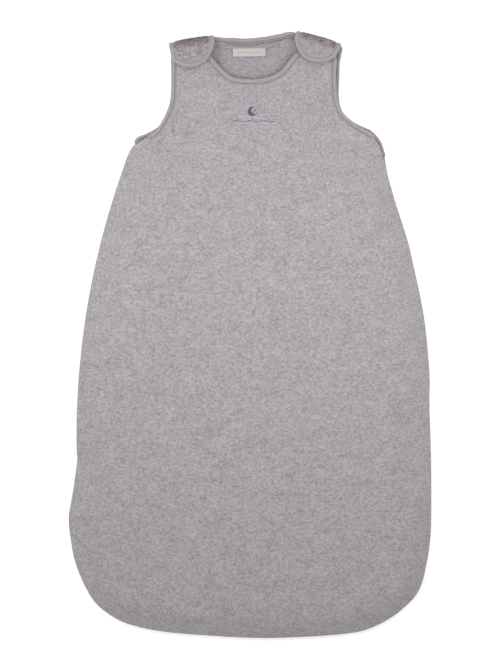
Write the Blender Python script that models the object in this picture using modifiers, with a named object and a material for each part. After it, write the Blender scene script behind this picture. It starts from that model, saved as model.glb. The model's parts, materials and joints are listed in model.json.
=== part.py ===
"""Baby sleeping bag, 70 cm long, lying on its back.

+Y points to the neck and +Z up, with the back panel flat on z = 0. Every length below is in
millimetres, and the meshes are written in metres. The front and the back are each three layers
(velour outer, padding, jersey lining). They are closed along the bottom and the right side, zipped
down the left side, and open at the neck and the armholes, where a binding edges them. Two padded
shoulder tabs of the back fold over the front's shoulders and hold there with poppers.
"""

import math

import bmesh
import bpy
from mathutils import Matrix, Vector
from mathutils.geometry import delaunay_2d_cdt, intersect_point_line

MM = 0.001
GAP = 0.3

# Layers of one panel, from the outside in.
OUTER_THICKNESS = 1.2
PADDING_THICKNESS = 2.0
LINING_THICKNESS = 0.8
PADDING_DEPTH = GAP + PADDING_THICKNESS
LINING_DEPTH = PADDING_DEPTH + GAP + LINING_THICKNESS

# Heights of the underside of the front's outer layer.
FRONT_PLATEAU_Z = 17.6
OPEN_EDGE_Z = 12.4
CLOSED_EDGE_Z = 4.4
ZIP_EDGE_Z = 11.0
OPEN_EDGE_REACH = 110.0
SEWN_EDGE_REACH = 34.0
BACK_RIM_RISE = 2.9
BACK_RIM_REACH = 10.0

# How far padding and lining stop inside the outer layer's edge.
LAYER_INSETS = {"zip": 8.4, "closed": 7.0, "open": 3.0}
GRID_SPACING = 56.0
OPEN_STEP = 11.0
SEWN_STEP = 27.0

FRONT_BINDING_RADIUS = 2.4
FRONT_BINDING_LIFT = 0.8
BACK_BINDING_RADIUS = 2.3
BACK_BINDING_Z = 2.6
TAB_BINDING_RADIUS = 2.15
BINDING_CLEARANCE = 0.8

# The zip lies on an arc about a far centre, so its slider turns about that centre.
ZIP_CENTRE = Vector((710.6, -117.4))
ZIP_EDGE_RADIUS = 910.0
ZIP_CHAIN_RADIUS = ZIP_EDGE_RADIUS - 4.0
ZIP_CHAIN_Z = 6.3
ZIP_SEAM_END_Y = -142.0
ZIP_SEAM_TOP_Y = 208.0
ZIP_TAPE_TOP_Y = 204.0
ZIP_TAPE_END_Y = -130.0
ZIP_TEETH_TOP_Y = 200.5
ZIP_TEETH_END_Y = -111.0
ZIP_STOP_LENGTH = 2.5
ZIP_SLIDER_Y = 194.0
TOOTH_HALF_DEPTH = 1.1
TOOTH_HEIGHT = 2.0
TOOTH_PARTING = 0.7
TAPE_HALF_DEPTH = 0.3
GUARD_INSET = 3.3
GUARD_THICKNESS = 0.6

# Slider and pull, in the slider's own frame: across the chain, along it, and up.
SLIDER_HALF_LENGTH = 5.5
SLIDER_HALF_HEIGHT = 3.7
SLIDER_INNER = 1.4
SLIDER_OUTER = 2.3
PULL_INNER = 2.65
PULL_OUTER = 3.55
PULL_LENGTH = 19.0
PULL_AXIS_X = 3.1
PULL_AXIS_Y = -1.0

# Shoulder tabs: each folds about a line that runs along the top of its shoulder.
FOLD_AXIS_Z = 10.6
FOLD_OUTER_RADIUS = 10.3
FOLD_INNER_RADIUS = 6.3
TAB_LINING_Z = 17.1
TAB_LINING_THICKNESS = 0.8
TAB_PLUSH_Z = 19.1
TAB_PLUSH_THICKNESS = 1.8
TAB_BINDING_Z = 18.7
POPPER_RADIUS = 4.5
POPPER_HOLE_RADIUS = 2.6
POPPER_CAP_Z = 18.2
POPPER_CAP_HEIGHT = 0.6
POPPER_SOCKET_Z = 15.7
POPPER_SOCKET_HEIGHT = 1.1
POPPER_BASE_Z = 14.9
POPPER_BASE_HEIGHT = 0.4
STUD_HEIGHT = 1.8
STUD_RADIUS = 1.9
STUD_WAIST_RADIUS = 1.6
POPPER_RING_Z = 8.3
POPPER_RING_HEIGHT = 0.6

# Free edges, as the bag lies: counter-clockwise, so that the cloth is on the left of the path.
FRONT_OPEN_EDGE = [
    (153.6, 210), (145.9, 226.7), (139.4, 231), (120.5, 242.3), (105.4, 256.6), (100.4, 272),
    (98.8, 300), (99.6, 317), (96, 325.5), (86, 329), (70, 333), (60, 333.5), (54, 329),
    (51.2, 323.2), (35.4, 303.2), (17.8, 295), (0, 293.3), (-20.4, 296.2), (-34.3, 307.6),
    (-45.1, 321), (-48.5, 325.5), (-56, 328.5), (-72, 327.5), (-84, 324.5), (-89, 317),
    (-90.3, 300), (-91.2, 272), (-95.6, 256), (-102.8, 242), (-110, 232.8), (-125, 223.4),
    (-138.6, 211.2),
]
FRONT_NECK_CORNERS = ((54, 329), (-48.5, 325.5))
BACK_RIGHT_ARMHOLE = [
    (154.8, 211), (150.8, 222.8), (140, 234.9), (121.4, 243.8), (106.2, 257.5), (102.4, 273),
    (103, 300), (103.6, 324.3),
]
BACK_NECKLINE = [(46.5, 350), (31.6, 346.3), (14.8, 343.2), (-9.3, 341.4), (-36.2, 343.9)]
BACK_LEFT_ARMHOLE = [
    (-91.3, 325.2), (-90.8, 300), (-91.5, 272), (-96, 256), (-104.2, 241), (-113.5, 234.6),
    (-128.6, 227.2), (-136.8, 219.2), (-140, 211.6),
]
CLOSED_EDGE = [
    (-199.1, -142), (-202.2, -168), (-206, -192), (-208.9, -211), (-206, -240),
    (-201.2, -263), (-188, -294), (-175.4, -312), (-150, -329.6), (-108, -341.2), (-47, -347),
    (16.7, -349.8), (88, -346.9), (131, -341.1), (157.5, -329.4), (180.5, -312),
    (194.8, -294.5), (204.3, -260), (208.4, -228), (208.8, -150), (206.8, -80), (207, -48),
    (201.2, 16), (190.4, 71), (182.3, 106), (167.1, 154), (159.3, 181.5), (155.2, 206),
]

# Shoulder tabs, by side: the fold line's two ends, the tab's free edge and its popper.
TABS = {
    "left": {
        "fold": ((-91, 326.7), (-38.4, 334.7)),
        "edge": [(-90.9, 323.6), (-88.9, 314.6), (-81, 308.6), (-70, 306.1), (-58.5, 308.3),
                 (-50, 313.5), (-45, 321), (-41.2, 330.8)],
        "popper": (-68, 317.5),
    },
    "right": {
        "fold": ((49.3, 340.1), (103.7, 325.7)),
        "edge": [(100.9, 323.1), (97.6, 318.2), (90.1, 313.6), (77.7, 311.9), (65.1, 314.6),
                 (56.8, 322), (53, 331), (51.6, 336.2)],
        "popper": (77.6, 321.4),
    },
}

NECK_TAPE_INSET = 9.6
NECK_TAPE_WIDTH = 4.5
NECK_TAPE_THICKNESS = 0.4
LABEL_CENTRE = (-0.9, 325)
LABEL_SIZE = (38, 9.6)
LABEL_TILT = math.radians(1.2)
LABEL_THICKNESS = 0.35
MOON_CENTRE = (2.9, 256)
MOON_RADIUS = 5.4
MOON_HOLLOW_RADIUS = 3.9
MOON_HOLLOW_OFFSET = (2.4, 0.9)
MOON_THICKNESS = 0.5
MOTIF_LINE_Y = 244.5
MOTIF_LINE_ENDS = (-19.6, 28.2)
MOTIF_LINE_RADIUS = 0.35
MOTIF_WAVES = 3
MOTIF_WAVE_HEIGHT = 0.8
MOTIF_LINE_STEPS = 24

MATERIALS = {
    "velour": ((0.42, 0.385, 0.405), 0.95, 0.0),
    "jersey": ((0.41, 0.39, 0.41), 0.95, 0.0),
    "wadding": ((0.85, 0.85, 0.84), 1.0, 0.0),
    "rib": ((0.43, 0.38, 0.395), 0.9, 0.0),
    "plush": ((0.35, 0.30, 0.31), 1.0, 0.0),
    "woven": ((0.62, 0.59, 0.56), 0.8, 0.0),
    "thread": ((0.13, 0.12, 0.22), 0.6, 0.0),
    "zip_cloth": ((0.40, 0.37, 0.39), 0.85, 0.0),
    "zip_plastic": ((0.45, 0.43, 0.45), 0.4, 0.0),
    "zip_metal": ((0.42, 0.40, 0.42), 0.4, 0.6),
    "popper_metal": ((0.62, 0.61, 0.60), 0.3, 1.0),
}


def material(name):
    """The named material, made once."""
    found = bpy.data.materials.get(name)
    if found:
        return found
    colour, roughness, metallic = MATERIALS[name]
    made = bpy.data.materials.new(name)
    made.use_nodes = True
    shader = made.node_tree.nodes["Principled BSDF"]
    shader.inputs["Base Color"].default_value = (*colour, 1.0)
    shader.inputs["Roughness"].default_value = roughness
    shader.inputs["Metallic"].default_value = metallic
    return made


def finish(obj, name, material_name, parent=None):
    """Name a piece, give it its material and put it in the bag's collection."""
    obj.name = name
    obj.data.name = name
    obj.data.materials.clear()
    obj.data.materials.append(material(material_name))
    for collection in list(obj.users_collection):
        collection.objects.unlink(obj)
    parts.objects.link(obj)
    if parent:
        obj.parent = parent
        obj.matrix_parent_inverse = parent.matrix_world.inverted()
    return obj


def mesh_object(bm, name, material_name, parent=None):
    """An object from a bmesh held in millimetres."""
    bmesh.ops.scale(bm, vec=(MM, MM, MM), verts=bm.verts)
    bmesh.ops.recalc_face_normals(bm, faces=bm.faces)
    mesh = bpy.data.meshes.new(name)
    bm.to_mesh(mesh)
    bm.free()
    return finish(bpy.data.objects.new(name, mesh), name, material_name, parent)


# Paths and outlines


def smooth_path(points, step):
    """Points about one step apart on a Catmull-Rom curve through the given ones."""
    knots = [Vector(point) for point in points]
    first = 2 * knots[0] - knots[1]
    last = 2 * knots[-1] - knots[-2]
    knots = [first] + knots + [last]
    path = []
    for a, b, c, d in zip(knots, knots[1:], knots[2:], knots[3:]):
        count = max(1, round((c - b).length / step))
        for i in range(count):
            t = i / count
            cubic = (3 * b - a - 3 * c + d) * t ** 3
            square = (2 * a - 5 * b + 4 * c - d) * t ** 2
            path.append(0.5 * (2 * b + (c - a) * t + square + cubic))
    path.append(knots[-2])
    return path


def offset_path(path, distance):
    """The path moved to its left, into the cloth."""
    moved = []
    for i, point in enumerate(path):
        before = path[max(i - 1, 0)]
        after = path[min(i + 1, len(path) - 1)]
        along = (after - before).normalized()
        moved.append(point + distance * Vector((-along.y, along.x)))
    return moved


def distance_to(path, point):
    """Shortest distance from a point to a path."""
    best = math.inf
    for a, b in zip(path, path[1:]):
        near, t = intersect_point_line(point, a, b)
        near = a if t < 0 else b if t > 1 else near.to_2d()
        best = min(best, (point - near).length)
    return best


def joined_loop(paths, insets):
    """One loop from several edge paths, each moved in by its own inset and trimmed at corners."""
    loop = []
    for kind, path in paths:
        for point in offset_path(path, insets[kind]):
            clear = all(distance_to(p, point) > insets[k] - 0.2 for k, p in paths)
            if clear and (not loop or (point - loop[-1]).length > 2.0):
                loop.append(point)
    return loop


def nearest(path, point):
    """Index of the path's point nearest to the given one."""
    return min(range(len(path)), key=lambda i: (path[i] - Vector(point)).length)


def trimmed(path):
    """The path without points that crowd together."""
    kept = [path[0]]
    for point in path[1:]:
        if (point - kept[-1]).length > 2.0:
            kept.append(point)
    return kept


def beyond_fold(point, fold):
    """How far a point lies beyond a tab's fold line, and where along the line it is, 0 to 1."""
    start, end = Vector(fold[0]), Vector(fold[1])
    along = (end - start).normalized()
    reach = point - start
    return reach.dot(Vector((-along.y, along.x))), reach.dot(along) / (end - start).length


def clear_of_folds(loop, margin):
    """The loop without what reaches past the shoulders' fold lines, less a margin."""
    kept = []
    for point in loop:
        over = point.copy()
        for side in TABS.values():
            past, place = beyond_fold(point, side["fold"])
            if -0.12 < place < 1.12 and past > -margin:
                start, end = Vector(side["fold"][0]), Vector(side["fold"][1])
                along = (end - start).normalized()
                over -= (past + margin) * Vector((-along.y, along.x))
        kept.append(over)
    return kept


def zip_point(y, radius):
    """The point at height y on the zip's arc of the given radius."""
    rise = y - ZIP_CENTRE.y
    return Vector((ZIP_CENTRE.x - math.sqrt(radius ** 2 - rise ** 2), y))


def zip_edge():
    """The left side's edge, from the underarm to the end of the zip's seam."""
    count = round((ZIP_SEAM_TOP_Y - ZIP_TAPE_END_Y) / SEWN_STEP)
    fall = (ZIP_TAPE_END_Y - ZIP_SEAM_TOP_Y) / count
    heights = [ZIP_SEAM_TOP_Y + i * fall for i in range(count + 1)]
    return [zip_point(y, ZIP_EDGE_RADIUS) for y in heights + [ZIP_SEAM_END_Y]]


# Layered panels


def front_height(edges, point):
    """Underside of the front's outer layer over a point: low at its edges, level in the middle."""
    heights = []
    for kind, edge_z, reach, power in (
        ("open", OPEN_EDGE_Z, OPEN_EDGE_REACH, 2.0),
        ("closed", CLOSED_EDGE_Z, SEWN_EDGE_REACH, 2.4),
        ("zip", ZIP_EDGE_Z, SEWN_EDGE_REACH, 2.0),
    ):
        left = max(0.0, 1.0 - distance_to(edges[kind], point) / reach)
        heights.append(edge_z + (FRONT_PLATEAU_Z - edge_z) * (1.0 - left ** power))
    return min(heights)


def back_height(edges, point):
    """Underside of the back's outer layer: flat, with a rim that turns up at the sewn edge."""
    left = max(0.0, 1.0 - distance_to(edges["closed"], point) / BACK_RIM_REACH)
    return BACK_RIM_RISE * left ** 2


def lattice(outline, inner):
    """Triangles inside the outline, and which of them lie inside the inner loop."""
    points = outline + inner
    xs = [p.x for p in outline]
    ys = [p.y for p in outline]
    closed = inner + [inner[0]]
    row_height = GRID_SPACING * math.sqrt(0.75)
    rows = int((max(ys) - min(ys)) / row_height) + 1
    columns = int((max(xs) - min(xs)) / GRID_SPACING) + 1
    grid = []
    for row in range(rows):
        for column in range(columns):
            x = min(xs) + (column + 0.5 * (row % 2)) * GRID_SPACING
            point = Vector((x, min(ys) + (row + 0.5) * row_height))
            if inside(inner, point) and distance_to(closed, point) > 0.25 * GRID_SPACING:
                grid.append(point)
    loops = [list(range(len(outline))), list(range(len(outline), len(points)))]
    verts, _, faces, _, _, sources = delaunay_2d_cdt(points + grid, [], loops, 1, 1e-4)
    within = [face for face, source in zip(faces, sources) if 1 in source]
    return verts, faces, within


def inside(loop, point):
    """Whether a point is inside a closed loop."""
    crossings = 0
    for a, b in zip(loop, loop[1:] + loop[:1]):
        if (a.y > point.y) != (b.y > point.y):
            crossings += point.x < a.x + (point.y - a.y) * (b.x - a.x) / (b.y - a.y)
    return crossings % 2 == 1


def layer(name, material_name, verts, faces, underside, thickness):
    """A layer of cloth: the triangles at their undersides' heights, thickened straight up."""
    bm = bmesh.new()
    used = sorted({index for face in faces for index in face})
    corners = {i: bm.verts.new((*verts[i], underside(verts[i]))) for i in used}
    for face in faces:
        bm.faces.new([corners[i] for i in face])
    lower = bm.faces[:]
    raised = bmesh.ops.extrude_face_region(bm, geom=lower, use_keep_orig=True)["geom"]
    raised_verts = [item for item in raised if isinstance(item, bmesh.types.BMVert)]
    bmesh.ops.translate(bm, vec=(0, 0, thickness), verts=raised_verts)
    return mesh_object(bm, name, material_name)


def front_panel():
    """The front's three layers, and the heights that its trimmings follow."""
    free = smooth_path(FRONT_OPEN_EDGE, OPEN_STEP)
    paths = [("zip", zip_edge()), ("closed", smooth_path(CLOSED_EDGE, SEWN_STEP)), ("open", free)]
    binding_width = 2 * FRONT_BINDING_RADIUS + BINDING_CLEARANCE
    outline = joined_loop(paths, {"zip": 0, "closed": 0, "open": binding_width})
    insets = dict(LAYER_INSETS)
    insets["open"] += binding_width
    inner = joined_loop(paths, insets)
    edges = dict(paths)
    edges["open"] = offset_path(free, binding_width)
    verts, faces, within = lattice(outline, inner)

    def underside(point):
        return front_height(edges, point)

    layer("front_outer", "velour", verts, faces, underside, OUTER_THICKNESS)
    layer("front_padding", "wadding", verts, within,
          lambda p: underside(p) - PADDING_DEPTH, PADDING_THICKNESS)
    layer("front_lining", "jersey", verts, within,
          lambda p: underside(p) - LINING_DEPTH, LINING_THICKNESS)
    return underside


def back_panel():
    """The back's three layers. Its shoulders end at the lines where the tabs fold."""
    binding_width = 2 * BACK_BINDING_RADIUS + BINDING_CLEARANCE
    paths = [("zip", zip_edge()), ("closed", smooth_path(CLOSED_EDGE, SEWN_STEP))]
    outline = joined_loop(paths, {"zip": 0, "closed": 0})
    inner = joined_loop(paths, LAYER_INSETS)
    for bound in (BACK_RIGHT_ARMHOLE, BACK_NECKLINE, BACK_LEFT_ARMHOLE):
        path = smooth_path(bound, OPEN_STEP)
        outline += trimmed(offset_path(path, binding_width))
        inner += trimmed(offset_path(path, binding_width + LAYER_INSETS["open"]))
    outline = clear_of_folds(outline, GAP)
    inner = clear_of_folds(inner, LAYER_INSETS["open"])
    verts, faces, within = lattice(outline, inner)
    edges = dict(paths)

    def underside(point):
        return back_height(edges, point)

    layer("back_outer", "velour", verts, faces, underside, OUTER_THICKNESS)
    layer("back_padding", "wadding", verts, within,
          lambda p: underside(p) + OUTER_THICKNESS + GAP, PADDING_THICKNESS)
    layer("back_lining", "jersey", verts, within,
          lambda p: underside(p) + OUTER_THICKNESS + PADDING_DEPTH + GAP, LINING_THICKNESS)


# Pieces by kind


def tube(name, material_name, points, radius, parent=None):
    """A rolled binding along a path of points in 3-D."""
    curve = bpy.data.curves.new(name, "CURVE")
    curve.dimensions = "3D"
    curve.bevel_depth = radius * MM
    curve.bevel_resolution = 1
    curve.use_fill_caps = True
    spline = curve.splines.new("POLY")
    spline.points.add(len(points) - 1)
    for control, point in zip(spline.points, points):
        control.co = (*(Vector(point) * MM), 1.0)
    return finish(bpy.data.objects.new(name, curve), name, material_name, parent)


def plate(name, material_name, outline, bottom, thickness, parent=None):
    """A flat piece with the given outline."""
    curve = bpy.data.curves.new(name, "CURVE")
    curve.dimensions = "2D"
    curve.fill_mode = "BOTH"
    curve.extrude = thickness / 2 * MM
    spline = curve.splines.new("POLY")
    spline.use_cyclic_u = True
    spline.points.add(len(outline) - 1)
    for control, point in zip(spline.points, outline):
        control.co = (point[0] * MM, point[1] * MM, 0.0, 1.0)
    piece = bpy.data.objects.new(name, curve)
    piece.location.z = (bottom + thickness / 2) * MM
    bpy.context.scene.collection.objects.link(piece)
    bpy.context.view_layer.update()
    return finish(piece, name, material_name, parent)


def turned(name, profile, centre, parent=None):
    """A popper part: a closed profile of (radius, height) turned about its own axis."""
    mesh = bpy.data.meshes.new(name)
    points = [(radius * MM, 0.0, height * MM) for radius, height in profile]
    ends_on_axis = profile[0][0] == 0
    count = len(points)
    links = [(i, (i + 1) % count) for i in range(count - 1 if ends_on_axis else count)]
    mesh.from_pydata(points, links, [])
    piece = bpy.data.objects.new(name, mesh)
    piece.location = (centre[0] * MM, centre[1] * MM, 0.0)
    screw = piece.modifiers.new("turn", "SCREW")
    screw.steps = 20
    screw.render_steps = 20
    screw.use_merge_vertices = True
    screw.merge_threshold = 0.00001
    bpy.context.scene.collection.objects.link(piece)
    bpy.context.view_layer.update()
    return finish(piece, name, "popper_metal", parent)


def zip_band(name, material_name, inner_radius, outer_radius, low, high, top_y, end_y):
    """A strip that follows the zip's arc, from a rectangle spun about the arc's centre."""
    start = math.asin((top_y - ZIP_CENTRE.y) / ZIP_CHAIN_RADIUS)
    sweep = start - math.asin((end_y - ZIP_CENTRE.y) / ZIP_CHAIN_RADIUS)
    outward = Vector((-math.cos(start), math.sin(start)))
    bm = bmesh.new()
    corners = []
    for radius, z in (
        (inner_radius, low), (outer_radius, low), (outer_radius, high), (inner_radius, high),
    ):
        corners.append(bm.verts.new((*(ZIP_CENTRE + radius * outward), z)))
    section = bm.faces.new(corners)
    steps = max(1, round(math.degrees(sweep) / 1.5))
    bmesh.ops.spin(
        bm, geom=[section], cent=(*ZIP_CENTRE, 0), axis=(0, 0, 1), angle=sweep, steps=steps,
    )
    return mesh_object(bm, name, material_name)


def local_box(low, high, matrix):
    """A box between two corners in the slider's own frame, as an object still to be joined."""
    bm = bmesh.new()
    bmesh.ops.create_cube(bm, size=1.0)
    size = Vector(high) - Vector(low)
    bmesh.ops.scale(bm, vec=size, verts=bm.verts)
    bmesh.ops.translate(bm, vec=(Vector(low) + Vector(high)) / 2, verts=bm.verts)
    bmesh.ops.scale(bm, vec=(MM, MM, MM), verts=bm.verts)
    bmesh.ops.transform(bm, matrix=matrix, verts=bm.verts)
    mesh = bpy.data.meshes.new("block")
    bm.to_mesh(mesh)
    bm.free()
    block = bpy.data.objects.new("block", mesh)
    bpy.context.scene.collection.objects.link(block)
    return block


def joined(blocks, name, material_name, parent):
    """One solid from overlapping blocks."""
    base = blocks[0]
    for block in blocks[1:]:
        union = base.modifiers.new("join", "BOOLEAN")
        union.operation = "UNION"
        union.solver = "EXACT"
        union.object = block
        block.name = name + "_block"
        block.hide_render = True
        block.display_type = "WIRE"
        bpy.context.scene.collection.objects.unlink(block)
        cutters.objects.link(block)
    return finish(base, name, material_name, parent)


def pivot(name, location):
    """An empty on a joint's axis."""
    empty = bpy.data.objects.new(name, None)
    empty.empty_display_size = 0.01
    empty.location = Vector(location) * MM
    bpy.context.scene.collection.objects.link(empty)
    bpy.context.view_layer.update()
    return empty


# Sub-assemblies


def bindings(front_underside):
    """The rolled edges of the front's neck and armholes, and of the back's."""
    free = smooth_path(FRONT_OPEN_EDGE, OPEN_STEP)
    middle = offset_path(free, FRONT_BINDING_RADIUS)
    right_end = nearest(free, FRONT_NECK_CORNERS[0])
    left_start = nearest(free, FRONT_NECK_CORNERS[1])
    spans = {
        "front_armhole_binding_right": middle[1:right_end],
        "front_neck_binding": middle[right_end + 1:left_start],
        "front_armhole_binding_left": middle[left_start + 1:-1],
    }
    for name, span in spans.items():
        rolled = []
        for point in trimmed(span):
            rolled.append(Vector((*point, front_underside(point) + FRONT_BINDING_LIFT)))
        tube(name, "rib", rolled, FRONT_BINDING_RADIUS)
    for name, edge in (
        ("back_armhole_binding_right", BACK_RIGHT_ARMHOLE), ("back_neck_binding", BACK_NECKLINE),
        ("back_armhole_binding_left", BACK_LEFT_ARMHOLE),
    ):
        path = offset_path(smooth_path(edge, OPEN_STEP), BACK_BINDING_RADIUS)
        rolled = [Vector((*point, BACK_BINDING_Z)) for point in trimmed(path)]
        tube(name, "rib", rolled, BACK_BINDING_RADIUS)


def neck_trimmings():
    """The tape over the back neck seam, and the blank label below it."""
    lining_top = OUTER_THICKNESS + PADDING_DEPTH + GAP + LINING_THICKNESS
    seam = smooth_path(BACK_NECKLINE[1:], OPEN_STEP)
    upper = offset_path(seam, NECK_TAPE_INSET)
    lower = offset_path(seam, NECK_TAPE_INSET + NECK_TAPE_WIDTH)
    tape_z = lining_top + GAP
    plate("neck_tape", "zip_cloth", upper + lower[::-1], tape_z, NECK_TAPE_THICKNESS)
    turn = Matrix.Rotation(LABEL_TILT, 2)
    half = Vector(LABEL_SIZE) / 2
    corners = [Vector((sx * half.x, sy * half.y)) for sx, sy in ((-1, -1), (1, -1), (1, 1), (-1, 1))]
    outline = [Vector(LABEL_CENTRE) + turn @ corner for corner in corners]
    label_z = tape_z + NECK_TAPE_THICKNESS + GAP
    plate("neck_label", "woven", outline, label_z, LABEL_THICKNESS)


def motif(front_underside):
    """Embroidery on the chest: a crescent moon over a wavy line of stitches."""
    centre = Vector(MOON_CENTRE)
    hollow = centre + Vector(MOON_HOLLOW_OFFSET)
    outer = [math.radians(a) for a in range(60, 331, 18)]
    inner = [math.radians(a) for a in range(310, 93, -24)]
    moon = [centre + MOON_RADIUS * Vector((math.cos(a), math.sin(a))) for a in outer]
    moon += [hollow + MOON_HOLLOW_RADIUS * Vector((math.cos(a), math.sin(a))) for a in inner]
    moon_z = front_underside(centre) + OUTER_THICKNESS + 2 * GAP
    plate("motif_moon", "thread", moon, moon_z, MOON_THICKNESS)
    start, end = MOTIF_LINE_ENDS
    line_z = front_underside(Vector((centre.x, MOTIF_LINE_Y))) + OUTER_THICKNESS + 3 * GAP
    wavy = []
    for i in range(MOTIF_LINE_STEPS + 1):
        part = i / MOTIF_LINE_STEPS
        wave = MOTIF_WAVE_HEIGHT * math.sin(2 * math.pi * MOTIF_WAVES * part)
        wavy.append(Vector((start + (end - start) * part, MOTIF_LINE_Y + wave, line_z)))
    tube("motif_line", "thread", wavy, MOTIF_LINE_RADIUS)


def strap_fold(side, tab):
    """The bend of the shoulder strap: a half ring about the fold line."""
    start, end = Vector(tab["fold"][0]), Vector(tab["fold"][1])
    along = (end - start).normalized()
    beyond = Vector((-along.y, along.x))
    bm = bmesh.new()
    ring = []
    angles = [math.radians(a) for a in range(-90, 91, 15)]
    for radius, sweep in ((FOLD_OUTER_RADIUS, angles), (FOLD_INNER_RADIUS, angles[::-1])):
        for angle in sweep:
            reach = GAP + radius * math.cos(angle)
            place = start + reach * beyond
            ring.append(bm.verts.new((*place, FOLD_AXIS_Z + radius * math.sin(angle))))
    section = bm.faces.new(ring)
    swept = bmesh.ops.extrude_face_region(bm, geom=[section], use_keep_orig=True)["geom"]
    swept_verts = [item for item in swept if isinstance(item, bmesh.types.BMVert)]
    bmesh.ops.translate(bm, vec=(*(end - start), 0), verts=swept_verts)
    mesh_object(bm, "strap_fold_" + side, "plush")


def shoulder_tab(side, tab):
    """One tab on its fold line, with its popper and the stud that the popper closes on."""
    start, end = Vector(tab["fold"][0]), Vector(tab["fold"][1])
    empty = pivot("pivot_tab_" + side, (*((start + end) / 2), FOLD_AXIS_Z))
    edge = smooth_path(tab["edge"], OPEN_STEP / 2)
    if side == "right":
        edge = edge[::-1]
    middle = offset_path(edge, TAB_BINDING_RADIUS)
    rolled = [Vector((*point, TAB_BINDING_Z)) for point in trimmed(middle)]
    tube("tab_binding_" + side, "rib", rolled, TAB_BINDING_RADIUS, empty)
    inner = trimmed(offset_path(edge, 2 * TAB_BINDING_RADIUS + BINDING_CLEARANCE))
    plate("tab_lining_" + side, "jersey", inner, TAB_LINING_Z, TAB_LINING_THICKNESS, empty)
    plate("tab_plush_" + side, "plush", inner, TAB_PLUSH_Z, TAB_PLUSH_THICKNESS, empty)
    strap_fold(side, tab)

    rim, hole = POPPER_RADIUS, POPPER_HOLE_RADIUS
    top = POPPER_CAP_Z + POPPER_CAP_HEIGHT
    cap = [(0, top), (rim - 0.6, top), (rim, top - 0.4), (rim, POPPER_CAP_Z), (0, POPPER_CAP_Z)]
    turned("popper_cap_" + side, cap, tab["popper"], empty)
    low, top = POPPER_SOCKET_Z, POPPER_SOCKET_Z + POPPER_SOCKET_HEIGHT
    socket = [
        (hole, top), (rim - 0.4, top), (rim, top - 0.3), (rim, low + 0.3), (rim - 0.4, low),
        (hole, low),
    ]
    turned("popper_socket_" + side, socket, tab["popper"], empty)
    low, base_top, top = POPPER_BASE_Z, POPPER_BASE_Z + POPPER_BASE_HEIGHT, POPPER_BASE_Z + STUD_HEIGHT
    stud = [
        (0, top), (STUD_RADIUS - 0.4, top), (STUD_RADIUS, top - 0.4),
        (STUD_WAIST_RADIUS, base_top + 0.1), (rim, base_top), (rim, low), (0, low),
    ]
    turned("popper_stud_" + side, stud, tab["popper"])
    low, top = POPPER_RING_Z, POPPER_RING_Z + POPPER_RING_HEIGHT
    ring = [(hole, top), (rim, top), (rim, low + 0.2), (rim - 0.4, low), (hole, low)]
    turned("popper_ring_" + side, ring, tab["popper"])


def zip_chain():
    """The zip's tapes, its two rows of teeth, its stops, and the guard strip behind it."""
    chain, z = ZIP_CHAIN_RADIUS, ZIP_CHAIN_Z
    tooth = TOOTH_HALF_DEPTH
    rows = {"back": (z - TOOTH_PARTING - TOOTH_HEIGHT, z - TOOTH_PARTING),
            "front": (z + TOOTH_PARTING, z + TOOTH_PARTING + TOOTH_HEIGHT)}
    tapes = {"back": (OUTER_THICKNESS + GAP, rows["back"][0] - GAP),
             "front": (rows["front"][1] + GAP, ZIP_EDGE_Z - GAP)}
    stop_y = ZIP_TEETH_TOP_Y + GAP
    for half in ("front", "back"):
        low, high = rows[half]
        zip_band("zip_teeth_" + half, "zip_plastic", chain - tooth, chain + tooth, low, high,
                 ZIP_TEETH_TOP_Y, ZIP_TEETH_END_Y)
        zip_band("zip_top_stop_" + half, "zip_metal", chain - tooth, chain + tooth, low, high,
                 stop_y + ZIP_STOP_LENGTH, stop_y)
        low, high = tapes[half]
        zip_band("zip_tape_" + half, "zip_cloth", chain - TAPE_HALF_DEPTH,
                 chain + TAPE_HALF_DEPTH, low, high, ZIP_TAPE_TOP_Y, ZIP_TAPE_END_Y)
    stop_y = ZIP_TEETH_END_Y - GAP
    zip_band("zip_bottom_stop", "zip_metal", chain - tooth, chain + tooth, rows["back"][0],
             rows["front"][1], stop_y, stop_y - ZIP_STOP_LENGTH)
    guard_radius = chain - GUARD_INSET
    zip_band("zip_guard", "jersey", guard_radius, guard_radius + GUARD_THICKNESS,
             OUTER_THICKNESS + GAP, ZIP_EDGE_Z - 2 * GAP, ZIP_TAPE_TOP_Y, ZIP_TAPE_END_Y)


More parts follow.
